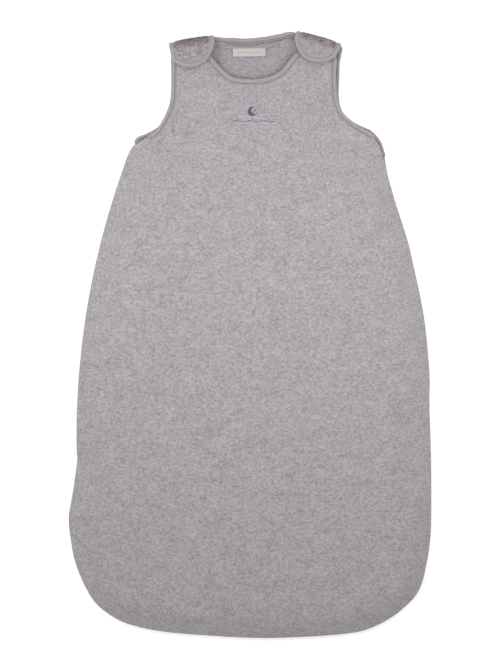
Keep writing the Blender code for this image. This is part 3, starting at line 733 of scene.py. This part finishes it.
def edge_paths(outline):
    """The outline's sewn, zipped and open stretches, as segments."""
    ends = np.roll(outline, -1, axis=0)
    middles = (outline + ends) / 2
    touching = np.minimum(outline[:, 2], ends[:, 2]) < CLOSED_Z + 0.2
    closed = np.maximum(outline[:, 2], ends[:, 2]) < CLOSED_Z + 0.2
    zipped = (middles[:, 0] < -120) & (middles[:, 1] < ZIP_TOP_Y + 3) & ~closed
    zipped &= middles[:, 1] > ZIP_END_Y - 14
    kinds = {"closed": closed, "zip": zipped, "open": ~touching & ~zipped}
    return {kind: list(zip(outline[mask], ends[mask])) for kind, mask in kinds.items()}


FRONT_EDGES = edge_paths(FRONT_OUTLINE)


def segment_distance(xy, segments):
    """Distance from each point to the nearest of several segments."""
    return np.minimum.reduce([distance(xy, np.array(segment)) for segment in segments])


def crease_points():
    """Lattice points across and along the creases, close enough to carry them."""
    points = []
    for start, end, width, _ in CREASES:
        a, b = np.array(start), np.array(end)
        along = unit(b - a)
        across = np.array([-along[1], along[0]])
        steps = np.arange(-2.0, np.linalg.norm(b - a) + 2.0, 2.2)
        for part in (-2.2, -1.4, -0.7, 0.0, 0.7, 1.4, 2.2):
            points += [a + t * along + part * width * across for t in steps]
    return np.array(points)


def creases(xy):
    """Height of the pressed-in creases."""
    total = np.zeros(len(xy))
    for start, end, width, depth in CREASES:
        ab = np.subtract(end, start)
        t = (xy - start) @ ab / (ab @ ab)
        off = distance(xy, np.array([start, end]))
        fade = np.clip(np.minimum(t + 0.4, 1.4 - t) / 0.5, 0, 1)
        total += depth * fade * np.exp(-(off / width) ** 2)
    return total


def base_height(xy):
    """Underside of the front's outer cloth before it is puffed and creased."""
    heights = []
    for kind, edge_z, reach, power in (
        ("open", OPEN_Z, OPEN_REACH, 2.0), ("closed", CLOSED_Z, SEWN_REACH, 2.4),
        ("zip", ZIP_Z, SEWN_REACH, 2.0),
    ):
        left = np.clip(1 - segment_distance(xy, FRONT_EDGES[kind]) / reach, 0, 1)
        heights.append(edge_z + (PLATEAU_Z - edge_z) * (1 - left ** power))
    lowest = np.minimum.reduce(heights)
    soft = 0.9
    total = sum(np.exp(-(h - lowest) / soft) for h in heights)
    return lowest - soft * np.log(total) * np.clip((lowest - CLOSED_Z) / 6, 0, 1) * 0.6


def puffed(outline):
    """How far the padded front stands off its plain form: cloth held at its edges, a little too
    big for them, and filled, settled by simulation. Returned as a function of place."""
    xy, faces = lattice(smooth_loop(outline[:, :2], PUFF_SPACING), PUFF_SPACING, [6.0])
    z = base_height(xy)
    rough = sum(height * wander(xy, *wave) for height, *wave in PUFF_WAVES)
    fade = np.clip(distance(xy, outline, True) / PUFF_RIM, 0, 1)
    moved = np.column_stack([xy, z + rough * fade])
    sheet = add_object("front_puff", moved, faces)
    pins = sheet.vertex_groups.new(name="pins")
    pins.add([int(i) for i in np.nonzero(fade <= 0)[0]], 1.0, "REPLACE")
    cloth = sheet.modifiers.new("cloth", "CLOTH")
    for setting, value in PUFF_CLOTH.items():
        setattr(cloth.settings, setting, value)
    cloth.settings.effector_weights.gravity = 0.0
    cloth.point_cache.frame_start = 1
    cloth.point_cache.frame_end = PUFF_FRAMES
    for step in range(1, PUFF_FRAMES + 1):
        bpy.context.scene.frame_set(step)
    settled = sheet.evaluated_get(bpy.context.evaluated_depsgraph_get())
    moved = np.array([v.co for v in settled.data.vertices]) * M
    bpy.context.scene.frame_set(1)
    rise = np.clip(moved[:, 2] - z, -PUFF_CAP, PUFF_CAP) * fade
    rise -= np.mean(rise[fade > 0.99])
    tree = BVHTree.FromPolygons([(*p, 0.0) for p in xy], faces)
    bpy.data.objects.remove(sheet)

    def rise_at(points):
        out = np.empty(len(points))
        for i, p in enumerate(points):
            near, _, index, _ = tree.find_nearest(Vector((p[0], p[1], 0.0)))
            a, b, c = (xy[k] for k in faces[index])
            m = np.array([b - a, c - a]).T
            u, v = np.linalg.solve(m, np.array(near.xy) - a)
            ra, rb, rc = (rise[k] for k in faces[index])
            out[i] = ra + u * (rb - ra) + v * (rc - ra)
        return out

    return rise_at


front_rise = puffed(FRONT_OUTLINE)
FRONT_RIM = smooth_loop(FRONT_OUTLINE[:, :2], BINDING_STEP)


def front_under(xy):
    """Underside of the front's outer cloth. Past the CAD's outline it droops from its height
    there."""
    home = xy.copy()
    for i in np.nonzero(~inside(xy, FRONT_RIM))[0]:
        home[i] = FRONT_RIM[np.linalg.norm(FRONT_RIM - xy[i], axis=1).argmin()]
    past = np.linalg.norm(xy - home, axis=1)
    edge = np.clip(segment_distance(home, sum(FRONT_EDGES.values(), [])) / 10.0, 0, 1)
    pressed_in = (0.5 + 0.5 * edge) * creases(xy)
    return base_height(home) - EDGE_DROOP * past + edge * front_rise(home) + pressed_in


def room(xy):
    """How much lower the inner layers lie where the outer cloth is creased, so that their
    coarser meshes stay under it."""
    return sum(1.3 * max(0.0, -depth) * np.exp(-(distance(xy, np.array([start, end])) / 9.5) ** 2)
               for start, end, _, depth in CREASES)


def pressed(xy):
    """How far the back lining sinks along the front's neck edge, which weighs on it."""
    off = segment_distance(xy, FRONT_EDGES["open"])
    return 1.5 * np.exp(-((off - 1.0) / 5.0) ** 2)


def back_under(xy):
    """Underside of the back's outer cloth: on the floor, with a rim that turns up."""
    left = np.clip(1 - segment_distance(xy, FRONT_EDGES["closed"]) / BACK_RIM_REACH, 0, 1)
    return BACK_RISE * left ** 2


def strap_corners():
    """The back's two neck corners, drawn out into the strap folds."""
    moves = []
    for side, toward_neck in (("left", 1.0), ("right", -1.0)):
        fold = tab_frame(side)
        low, high = cad_box("strap_fold_" + side)
        half = (high - low)[0] / 2
        corner = fold["origin"] + toward_neck * half * fold["along"]
        corner = corner + STRAP_CORNER_REACH * fold["beyond"]
        moves.append((corner[:2], corner[:2]))
    return moves


def redrawn(outline, moves):
    """An outline in which the corner nearest to each first place is moved to the second."""
    drawn = outline[:, :2].copy()
    for old, new in moves:
        drawn[np.linalg.norm(drawn - old, axis=1).argmin()] = new
    return drawn


def build_panels():
    """The six layers of the front and the back."""
    front_loop = smooth_loop(redrawn(FRONT_OUTLINE, FRONT_UNDERARMS), EDGE_STEP)
    front_inner = smooth_loop(FRONT_INNER[:, :2], EDGE_STEP * 2)
    back_loop = smooth_loop(redrawn(BACK_OUTLINE, BACK_UNDERARM + strap_corners()), EDGE_STEP)
    back_inner = smooth_loop(redrawn(BACK_INNER, strap_corners()), EDGE_STEP * 2)
    outer = (OUTER_THICKNESS, EDGE_ROUNDING)
    padding = (PADDING_THICKNESS, 1.2)
    lining = (LINING_THICKNESS, 0.6)

    def front_middle(drop):
        return lambda p: front_under(p) - room(p) - drop

    def back_middle(rise, sink, ruck=0.0):
        return lambda p: back_under(p) + rise - sink * pressed(p) + ruck * wander(p, 22.0, 3.0)

    layers = (
        ("front_velour", "velour", "front_outer", front_loop, CLOTH_SPACING,
         lambda p: front_under(p) + OUTER_THICKNESS / 2, *outer, crease_points()),
        ("front_wadding", "wadding", "front_padding", front_inner, LINING_SPACING,
         front_middle(CLEARANCE + PADDING_THICKNESS / 2), *padding),
        ("front_jersey", "jersey", "front_lining", front_inner, LINING_SPACING,
         front_middle(LINING_DEPTH - LINING_THICKNESS / 2), *lining),
        ("back_velour", "velour", "back_outer", back_loop, CLOTH_SPACING,
         lambda p: back_under(p) + OUTER_THICKNESS / 2, *outer),
        ("back_wadding", "wadding", "back_padding", back_inner, LINING_SPACING,
         back_middle(OUTER_THICKNESS + CLEARANCE + PADDING_THICKNESS / 2, 0.9), *padding),
        ("back_jersey", "jersey", "back_lining", back_inner, LINING_SPACING,
         back_middle(OUTER_THICKNESS + PADDING_DEPTH + CLEARANCE + LINING_THICKNESS / 2,
                     1.0, 0.12), *lining),
    )
    for name, material, node, *shape in layers:
        on_body(slab(name, *shape), material, material, "bag", node)


# Bindings and stitches


def binding_section(width, height, ditch):
    """A folded binding's section as (outward, up) pairs: full at the free edge, then a ditch
    where the seam presses it down, and a thin lip beyond the ditch."""
    half = width / 2
    crown = ditch + 0.75
    across = [crown + (half - crown) * part for part in (1.0, 0.96, 0.86, 0.7, 0.5, 0.3, 0.15)]
    across += [ditch + gap for gap in (0.75, 0.4, 0.15, -0.15, -0.4, -0.75)]
    across += [0.5 * (ditch - 0.75 - half), 0.12 - half, -half]
    pairs = []
    for u in across:
        v = height / 2 * math.sqrt(max(0.0, 1 - abs(u / half) ** 3))
        v *= 1 - 0.72 * math.exp(-((u - ditch) / 0.36) ** 2)
        pairs.append((u, v * (1.0 if u > ditch else 0.78)))
    for part in (-0.75, -0.35, 0.1, 0.5, 0.85):
        pairs.append((half * part, -height / 2 * math.sqrt(1 - abs(part) ** 3)))
    return pairs


def binding(name, path, uprights, seed, width, height=BINDING_HEIGHT, ditch=DITCH):
    """A binding along a path whose left side is cloth, and the stitches in its ditch, which is
    measured from its inner edge."""
    path = np.asarray(path, float)
    run = distance_along(path)
    section = binding_section(width, height, ditch - width / 2)
    sections = []
    for s in run:
        swell = 1 + 0.06 * noise.noise(Vector((s / 7.0 + seed, seed, 0.1)))
        pucker = 1 + 0.04 * math.cos(2 * math.pi * s / (STITCH_LENGTH + STITCH_GAP))
        end = min(1.0, 0.2 + 0.8 * min(s, run[-1] - s) / BINDING_TAPER)
        sections.append([(u * (2 - swell) * end, v * swell * (pucker if u < 0 else 1) * end)
                         for u, v in section])
    ups = upright(path) if uprights is None else uprights
    tube = sweep(name, path, sections, ups)
    side = np.cross(unit(np.gradient(path, axis=0)), ups)
    line = path + side * (ditch - width / 2) + ups * (height / 2 * 0.42)
    inner = slice(2, -2)
    seam = dashes(name + "_stitches", line[inner], ups[inner], STITCH_LENGTH, STITCH_GAP,
                  STITCH_RADIUS)
    return tube, seam


def labelled_runs(path, nodes):
    """The longest stretch of a closed path that runs along each of several CAD nodes."""
    trees = {}
    for node in nodes:
        bm = cad_mesh(node)
        trees[node] = BVHTree.FromBMesh(bm)
        bm.free()
    names = []
    for point in path:
        gaps = {node: tree.find_nearest(Vector(point))[3] for node, tree in trees.items()}
        nearest = min(gaps, key=gaps.get)
        names.append(nearest if gaps[nearest] < CAD_BINDING_REACH else None)
    start = names.index(None)
    path = np.roll(path, -start, axis=0)
    runs, at = {}, 0
    for node, group in itertools.groupby(names[start:] + names[:start]):
        count = len(list(group))
        if node and count > len(runs.get(node, ())):
            runs[node] = path[at:at + count]
        at += count
    return runs


def tucked(run):
    """A binding's path with its ends turned in under the cloth beside them."""
    along = distance_along(run)
    near = np.clip(1 - np.minimum(along, along[-1] - along) / TUCK_LENGTH, 0, 1) ** 2
    turned = run.copy()
    turned[:, :2] += TUCK_DEPTH * near[:, None] * normals_of(run)
    turned[:, 2] -= TUCK_SINK * near
    return turned


def panel_bindings(outline, nodes, middle_z):
    """The bindings that edge a panel, along the stretches that the CAD's bindings mark."""
    loop = smooth_loop(outline[:, :2], BINDING_STEP)
    line = loop - BINDING_OFFSET * normals_of(loop, closed=True)
    line = line[distance(line, loop, True) > BINDING_OFFSET - 0.15]
    runs = labelled_runs(np.column_stack([line, middle_z(line)]), nodes)
    for k, (node, run) in enumerate(runs.items()):
        cut, before, end_cut, after = BINDING_ENDS.get(node, (0, [], 0, []))
        run = tucked(run)[cut:len(run) - end_cut]
        width = BINDING_WIDTHS.get(node, BINDING_WIDTH)
        run[:, :2] += (width - BINDING_WIDTH) / 2 * normals_of(run)
        path = through(np.array([*before, *run[::3], *after], float), BINDING_STEP)
        tube, seam = binding(node.replace("binding", "rolled_edge"), path, None, 3.0 * k, width)
        on_body(tube, "rib", "rib", "bag", node)
        # the seam's dark thread is partly painted shade, standing for the ditch's shadow
        on_body(seam, "stitch", "rib", "bag")


# Shoulder tabs


# The plush's middle, dark and light tones: the right tab's are painted lighter, a lit copy of the
# same plush.
PLUSH_TONES_PAINTED_LIGHT = {
    "left": (seen(166, 157, 160), seen(78, 64, 64), seen(214, 208, 210)),
    "right": (seen(174, 167, 169), seen(100, 86, 86), seen(208, 203, 204)),
}


def tab_frame(side):
    """A shoulder's fold line: a point on it, its direction, and the way beyond it."""
    joint = joint_called(side + "_tab_fold")
    along = -np.array(joint["axis"])
    return {"origin": np.array(joint["pos_m"]) * M, "along": along,
            "beyond": np.array([-along[1], along[0], 0.0]),
            "outward": 1.0 if side == "right" else -1.0}


def on_strap(fold, point):
    """A place on the flat strap: along the fold line, and beyond it."""
    flat = np.asarray(point, float) - fold["origin"]
    return flat @ fold["along"], flat @ fold["beyond"]


def wrapped(fold, points, radius):
    """Places of the flat strap wrapped over its fold, at distances from its axis, with the
    outward direction at each. The fold droops at the armhole."""
    placed, ups = [], []
    around = math.pi * FOLD_RADIUS
    for (a, s), r in zip(points, radius):
        angle = min(max(s, 0.0), around) / FOLD_RADIUS
        outer = max(0.0, a * fold["outward"] / FOLD_HALF)
        r -= FOLD_DROOP * outer ** 2.5 * math.sin(angle)
        beyond = min(s, 0.0) - max(s - around, 0.0)
        up = math.sin(angle) * fold["beyond"] + math.cos(angle) * np.array([0.0, 0.0, 1.0])
        placed.append(fold["origin"] + a * fold["along"] + beyond * fold["beyond"] + r * up)
        ups.append(up)
    return np.array(placed), np.array(ups)


def tab_edge(side, fold):
    """The tab's free edge on the flat strap, from one end of the fold to the other."""
    outline, _ = cad_outline("tab_plush_" + side)
    pairs = np.array([on_strap(fold, p) for p in outline])
    left, right = pairs[pairs[:, 0].argmin()], pairs[pairs[:, 0].argmax()]
    top = max(left[1], right[1])
    centre = (left[0] + right[0]) / 2
    pairs = pairs[pairs[:, 1] < top + 1e-6]
    turn = np.arctan2(pairs[:, 1] - top - 4.0, pairs[:, 0] - centre)
    return pairs[turn.argsort()]


def build_tab(side):
    """One shoulder tab: plush, lining and binding, from the back over the fold."""
    fold = tab_frame(side)
    edge = tab_edge(side, fold)
    end = math.pi * FOLD_RADIUS
    first, last = edge[0][0] - 0.6, edge[-1][0] + 0.6
    climbs = (2.0, 6.0, 10.0, 15.0, 20.0, end)
    loop = [*through(edge, 1.5), *((last, s) for s in climbs), *((first, s) for s in climbs[::-1])]
    loop = smooth_loop(np.array([tuple(p) for p in loop]), 1.5)
    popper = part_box("popper_cap_" + side)
    popper = on_strap(fold, (popper[0] + popper[1]) / 2 * M)

    def cover(name, spacing, inner, thickness, relief):
        xy, faces = lattice(loop, spacing, [0.2, 0.6, 1.4, 3.0])
        depth = distance(xy, loop, True)
        half = cushion(depth, 3.0, thickness)
        middle = inner + thickness / 2
        upper, _ = wrapped(fold, xy, middle + half + relief(xy, depth))
        lower, _ = wrapped(fold, xy, middle - half)
        return two_sided(name, upper, lower, faces, depth < 1e-3)

    def pile(xy, depth):
        fade = np.clip(depth / 2.5, 0, 1)
        lumps = 0.20 * wander(xy, 2.4, 5.0) + 0.12 * wander(xy, 1.3, 11.0)
        dimple = 0.7 * np.exp(-(np.linalg.norm(xy - popper, axis=1) / 3.2) ** 2)
        sunk = 0.5 * np.clip(1 - depth / 3.0, 0, 1)
        return fade * (lumps + 0.45 * np.sqrt(np.clip(depth / 12.0, 0, 1)) - 0.3 - dimple) - sunk

    pile_top = cover("tab_pile_" + side, 0.8, TAB_PLUSH_FROM, TAB_PLUSH_THICKNESS, pile)
    # the right tab's plush is a copy of the left's with painted light, lighter all over
    MATERIALS["plush_" + side] = plush("plush_" + side, *PLUSH_TONES_PAINTED_LIGHT[side], fold)
    dress(pile_top, "plush_" + side, "plush", "tab_plush_" + side, "strap_fold_" + side)
    under = cover("tab_jersey_" + side, 2.5, TAB_LINING_FROM, LINING_THICKNESS,
                  lambda xy, depth: np.zeros(len(xy)))
    dress(under, "jersey", "jersey", "tab_lining_" + side)

    up_side = np.arange(1.0, end, BINDING_STEP)
    run = [*((first, s) for s in up_side[::-1]), *through(edge, BINDING_STEP),
           *((last, s) for s in up_side)]
    run = through(np.array([tuple(p) for p in run])[::2], BINDING_STEP)
    run = run - TAB_BINDING_OFFSET * normals_of(run)
    placed, ups = wrapped(fold, run, np.full(len(run), FOLD_RADIUS + 0.05))
    tube, seam = binding("tab_rolled_edge_" + side, placed, ups, 20.0, TAB_BINDING_WIDTH,
                         TAB_BINDING_HEIGHT, TAB_DITCH)
    dress(tube, "rib", "rib", "tab_binding_" + side)
    dress(seam, "tab_stitch", "rib")
    for piece in (pile_top, under, tube, seam):
        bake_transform(piece)


# Neck trimmings and embroidery


def ribbon(name, path, width, thickness, across=None):
    """A flat tape along a path, with its face towards each point's upright."""
    half, t = width / 2, thickness / 2
    section = [(-half, 0), (-half + 0.15, t), (0, t), (half - 0.15, t), (half, 0),
               (half - 0.15, -t), (0, -t), (-half + 0.15, -t)]
    return sweep(name, path, [section] * len(path), across)


def build_neck():
    """The tape over the back neck seam and the wordless label that hangs from it."""
    outline, thickness = cad_outline("neck_tape")
    upper, lower = [], []
    for x in np.linspace(outline[:, 0].min() + 0.5, outline[:, 0].max() - 0.5, 48):
        crossing = [a[1] + (x - a[0]) * (b[1] - a[1]) / (b[0] - a[0])
                    for a, b in zip(outline, np.roll(outline, -1, axis=0))
                    if (a[0] - x) * (b[0] - x) < 0]
        if len(crossing) >= 2:
            upper.append((x, max(crossing)))
            lower.append((x, min(crossing)))
    upper, lower = np.array(upper), np.array(lower)
    z = outline[0, 2] + thickness / 2
    path = np.column_stack([(upper + lower) / 2, np.full(len(upper), z)])
    width = float(np.mean(upper[:, 1] - lower[:, 1]))
    tape = ribbon("neck_twill_tape", path, width, thickness)
    on_body(tape, "zip_cloth", "zip_cloth", "bag", "neck_tape")
    low_edge = path + np.array([0, -width / 2 + 0.7, thickness / 2])
    seam = dashes("neck_tape_stitches", low_edge, upright(path), STITCH_LENGTH, STITCH_GAP, 0.34)
    on_body(seam, "tape_stitch", "zip_cloth", "bag")

    corners, thickness = cad_outline("neck_label")
    middle = corners[:, :2].mean(0)
    edges = np.roll(corners, -1, axis=0) - corners
    sizes = np.linalg.norm(edges[:, :2], axis=1)
    width, height = sizes.max(), sizes.min()
    u = edges[np.argmax(sizes)][:2]
    u = unit(u * math.copysign(1.0, u[0]))
    v = np.array([-u[1], u[0]])
    grid = np.meshgrid(np.linspace(-0.5, 0.5, 41), np.linspace(-0.5, 0.5, 15))
    a, b = (part.ravel() for part in grid)
    flat = middle + np.outer(a * width, u) + np.outer(b * height, v)
    lift = corners[0, 2] + 0.2 + 0.5 * np.maximum(0.0, -b) ** 2 + 0.10 * np.sin(a * 9.0)
    hem = np.where(np.abs(np.abs(a) - 0.5) < 0.055, 0.12, 0.0)
    sheets = [np.column_stack([flat, lift + up * (thickness / 2 + hem)]) for up in (1, -1)]
    index = np.arange(len(a)).reshape(grid[0].shape)
    quads = np.stack([index[:-1, :-1], index[:-1, 1:], index[1:, 1:], index[1:, :-1]], axis=-1)
    quads = quads.reshape(-1, 4)
    rim = np.concatenate([index[0, :-1], index[:-1, -1], index[-1, :0:-1], index[:0:-1, 0]])
    after = np.roll(rim, -1)
    sides = np.column_stack([after, rim, rim + len(a), after + len(a)])
    faces = np.concatenate([quads, quads[:, ::-1] + len(a), sides])
    label = add_closed("neck_woven_label", np.concatenate(sheets), faces.tolist())
    on_body(label, "woven", "woven", "bag", "neck_label")
    waves = []
    for part in np.linspace(-0.36, 0.36, 90):
        p = middle + part * width * u + 0.9 * math.sin(part * 50.0) * v
        waves.append((*p, corners[0, 2] + 0.24 + thickness / 2 + 0.10 * math.sin(part * 9.0)))
    wave = dashes("neck_label_wave", waves, upright(waves), 1.5, 0.45, 0.26)
    on_body(wave, "label_thread", "woven", "bag")


def strand(start, end, radius, sag, verts, faces):
    """Add one embroidery thread, bowed upwards between two points."""
    start, end = np.array(start, float), np.array(end, float)
    up = np.array([0.0, 0.0, 1.0])
    t = np.linspace(0, 1, 5)
    centres = start + np.outer(t, end - start) + np.outer(sag * np.sin(math.pi * t), up)
    radii = radius * np.array([0.55, 1.0, 1.0, 1.0, 0.55])
    add_rod(verts, faces, centres, radii, unit(np.cross(end - start, up)), up)


def build_motif():
    """Embroidery: a satin-stitched crescent with small stars, over a wavy line of stitches."""
    low, high = cad_box("motif_moon")
    centre, size = (low + high)[:2] / 2, (high - low)[:2].max() / 2

    def top(x, y):
        return float(front_under(np.array([[x, y]]))[0]) + OUTER_THICKNESS + 0.08

    verts, faces = [], []
    inner_centre = centre + size * np.array([0.48, 0.16])
    for k in range(96):
        angle = math.radians(52 + 286 * k / 95)
        ray = np.array([math.cos(angle), math.sin(angle)])
        outer = centre + size * ray
        to_inner = outer - inner_centre
        near = inner_centre + unit(to_inner) * size * 0.74
        if np.linalg.norm(near - centre) > size * 0.98:
            continue
        jitter = 0.08 * noise.noise(Vector((k * 0.7, 0.2, 0.5)))
        a = (*(outer + jitter * ray), top(*outer))
        b = (*near, top(*near))
        strand(a, b, 0.15, 0.22, verts, faces)
    moon = add_closed("embroidered_moon", verts, faces)
    on_body(moon, "thread", "thread", "bag", "motif_moon")

    low, high = cad_box("motif_line")
    verts, faces = [], []
    count = 30
    line_y = (low[1] + high[1]) / 2
    wave = (high[1] - low[1]) / 2 - 0.35
    for k in range(count):
        xs = [low[0] + (high[0] - low[0]) * (k + f) / count for f in (0.05, 0.95)]
        ys = [line_y + wave * math.sin((x - low[0]) / (high[0] - low[0]) * 6 * math.pi) for x in xs]
        strand((xs[0], ys[0], top(xs[0], ys[0])), (xs[1], ys[1], top(xs[1], ys[1])),
               0.36, 0.12, verts, faces)
    stars = [(centre + size * np.array(p), r) for p, r in (
        ((0.55, 0.25), 1.5), ((0.95, -0.55), 0.9), ((0.15, -0.3), 0.8), ((1.15, 0.75), 0.8))]
    stars += [(np.array([x, line_y + above]), r) for x, above, r in (
        (low[0] + 6.0, 2.6, 0.8), (high[0] - 7.0, 2.6, 0.8), (centre[0], 2.4, 0.7))]
    for place, radius in stars:
        for spoke in range(4):
            angle = math.pi * spoke / 4 + 0.2
            reach = radius * (1.0 if spoke % 2 == 0 else 0.62)
            d = reach * np.array([math.cos(angle), math.sin(angle)])
            z = top(*place) + 0.04 * spoke
            strand((*(place - d), z), (*(place + d), z), 0.17, 0.1, verts, faces)
    line = add_closed("embroidered_line_and_stars", verts, faces)
    on_body(line, "thread", "thread", "bag", "motif_line")


# Zip


ZIP_CENTRE = np.array(joint_called("zip_slide")["pos_m"])[:2] * M


def zip_reach(node):
    """A zip part's corners as radii, angles and heights about the side arc's centre."""
    points = cad_points(node)
    off = points[:, :2] - ZIP_CENTRE
    return np.linalg.norm(off, axis=1), np.arctan2(off[:, 1], -off[:, 0]), points[:, 2]


def on_side_arc(radius, angle, z):
    """Places at radii, angles and heights about the side arc's centre."""
    x = ZIP_CENTRE[0] - radius * np.cos(angle)
    return np.column_stack([x, ZIP_CENTRE[1] + radius * np.sin(angle), z + 0 * angle])


def from_centre(path):
    """Level unit vectors from the side arc's centre to a path's points."""
    return unit(np.column_stack([path[:, :2] - ZIP_CENTRE, np.zeros(len(path))]))


def build_zip():
    """Two nylon coils on their tapes along the side's arc."""
    for half, sign, lead in (("front", 1.0, 0.0), ("back", -1.0, 0.5)):
        radii, angles, z = zip_reach("zip_teeth_" + half)
        radius = (radii.min() + radii.max()) / 2
        turns = int((angles.max() - angles.min()) * radius / COIL_PITCH)
        steps = np.arange(turns * COIL_STEPS)
        turn = 2 * math.pi * steps / COIL_STEPS
        angle = angles.max() - (steps / COIL_STEPS + lead) * COIL_PITCH / radius
        z_mid = (z.min() + z.max()) / 2 - sign * COIL_HEAD / 2
        z_half = (z.max() - z.min()) / 2 + COIL_HEAD / 2 - WIRE_RADIUS
        path = on_side_arc(radius + 0.75 * np.cos(turn), angle, z_mid + z_half * np.sin(turn))
        wire = [(WIRE_RADIUS * math.cos(a), WIRE_RADIUS * math.sin(a))
                for a in np.linspace(0, 2 * math.pi, 6, endpoint=False)]
        coil = sweep("zip_coil_" + half, path, [wire] * len(path),
                     from_centre(path) + np.array([0, 0, 0.3]))
        radii, angles, z = zip_reach("zip_tape_" + half)
        low = z.min() - (1.6 if half == "front" else 0.0)
        high = z.max() + (1.6 if half == "back" else 0.0)
        path = on_side_arc(radius, np.linspace(angles.max(), angles.min(), 180), (low + high) / 2)
        strip = ribbon("zip_woven_tape_" + half, path, high - low, radii.max() - radii.min(),
                       from_centre(path))
        on_body(coil, "zip_plastic", "zip_plastic", "bag", "zip_teeth_" + half)
        on_body(strip, "zip_cloth", "zip_cloth", "bag", "zip_tape_" + half)
        for piece in (coil, strip):
            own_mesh(piece)


def build_gusset():
    """The zip tapes' lower ends, sewn together where the front comes down to the back."""
    radius = zip_reach("zip_tape_front")[0].mean()
    ys = np.arange(ZIP_END_Y + 5.0, ZIP_END_Y - 17.0, -1.0)
    xs = ZIP_CENTRE[0] - np.sqrt(radius ** 2 - (ys - ZIP_CENTRE[1]) ** 2)
    xy = np.column_stack([xs, ys])
    top = front_under(xy) + 0.4
    foot = back_under(xy) + OUTER_THICKNESS - 0.4
    half = np.maximum(top - foot, 0.5) / 2
    sections = [[(0.45, -h), (0.45, h), (-0.45, h), (-0.45, -h)] for h in half]
    gusset = sweep("zip_end_gusset", np.column_stack([xy, foot + half]), sections)
    on_body(gusset, "zip_cloth", "zip_cloth", "bag")


def keep_node(node, material, bevel, segments=2):
    """A CAD node that stays, with a finer material and softened edges."""
    obj = frame["nodes"][node]
    obj.data.materials.clear()
    obj.data.materials.append(MATERIALS[material])
    weld = obj.modifiers.new("weld", "WELD")
    weld.merge_threshold = 0.00001
    rounding = obj.modifiers.new("rounding", "BEVEL")
    rounding.width = bevel * MM
    rounding.segments = segments
    rounding.limit_method = "ANGLE"
    rounding.angle_limit = math.radians(35)
    rounding.harden_normals = True
    obj.data.shade_smooth()
    obj.data.set_sharp_from_angle(angle=math.radians(40))


def build_hardware():
    """Poppers, slider, pull, stops and the guard strip keep their CAD shapes."""
    for side in ("left", "right"):
        for part in ("cap", "socket", "stud", "ring"):
            keep_node(f"popper_{part}_{side}", "popper_metal", 0.12)
    keep_node("zip_slider", "zip_metal", 0.25, 3)
    keep_node("zip_pull", "zip_metal", 0.3, 3)
    for node in ("zip_top_stop_front", "zip_top_stop_back", "zip_bottom_stop"):
        keep_node(node, "zip_metal", 0.3, 3)
    keep_node("zip_guard", "jersey", 0.15)


# Stage


def build_stage():
    """Pale floor, soft lights and the camera straight above."""
    bpy.ops.mesh.primitive_plane_add(size=FLOOR_SIZE, location=(0, 0, FLOOR_Z))
    floor = bpy.context.object
    floor.name = "floor"
    made, tree, shader = nodes_for("floor")
    put_in(tree, shader, Base_Color=(0.8, 0.8, 0.8, 1.0), Roughness=0.9,
           Specular_IOR_Level=0.1, Emission_Color=WHITE, Emission_Strength=0.5)
    floor.data.materials.append(made)
    world = bpy.data.worlds.new("studio")
    world.use_nodes = True
    put_in(world.node_tree, world.node_tree.nodes["Background"], Color=WHITE,
           Strength=WORLD_STRENGTH)
    bpy.context.scene.world = world
    key = bpy.data.lights.new("key", "AREA")
    key.shape = "RECTANGLE"
    key.size, key.size_y = KEY_SIZE
    key.energy = KEY_WATTS
    fill = bpy.data.lights.new("fill", "SUN")
    fill.angle = math.radians(14)
    fill.energy = FILL_STRENGTH
    for light, (place, aim) in ((key, KEY_PLACE), (fill, FILL_PLACE)):
        lamp = bpy.data.objects.new(light.name, light)
        lamp.location = place
        toward = Vector(aim) - Vector(place)
        lamp.rotation_euler = toward.to_track_quat("-Z", "Y").to_euler()
        bpy.context.scene.collection.objects.link(lamp)
    camera = bpy.data.objects.new("camera", bpy.data.cameras.new("camera"))
    camera.data.lens = LENS
    camera.data.sensor_width = SENSOR
    camera.data.clip_end = CLIP_END
    camera.location = (0, 0, (VIEW_LENGTH * LENS / SENSOR + PLATEAU_Z * 0.5) * MM)
    bpy.context.scene.collection.objects.link(camera)
    bpy.context.scene.camera = camera
    bpy.context.scene.view_settings.view_transform = "Standard"


for unused in ("Cube", "Light", "Camera"):
    if unused in bpy.data.objects:
        bpy.data.objects.remove(bpy.data.objects[unused])

build_stage()
build_panels()
panel_bindings(
    FRONT_OUTLINE, ["front_armhole_binding_right", "front_neck_binding",
                    "front_armhole_binding_left"],
    lambda p: base_height(p) + OUTER_THICKNESS / 2)
panel_bindings(
    BACK_OUTLINE, ["back_armhole_binding_right", "back_neck_binding",
                   "back_armhole_binding_left"],
    lambda p: np.full(len(p), BACK_BINDING_Z))
for tab_side in ("left", "right"):
    build_tab(tab_side)
build_neck()
build_motif()
build_zip()
build_gusset()
build_hardware()
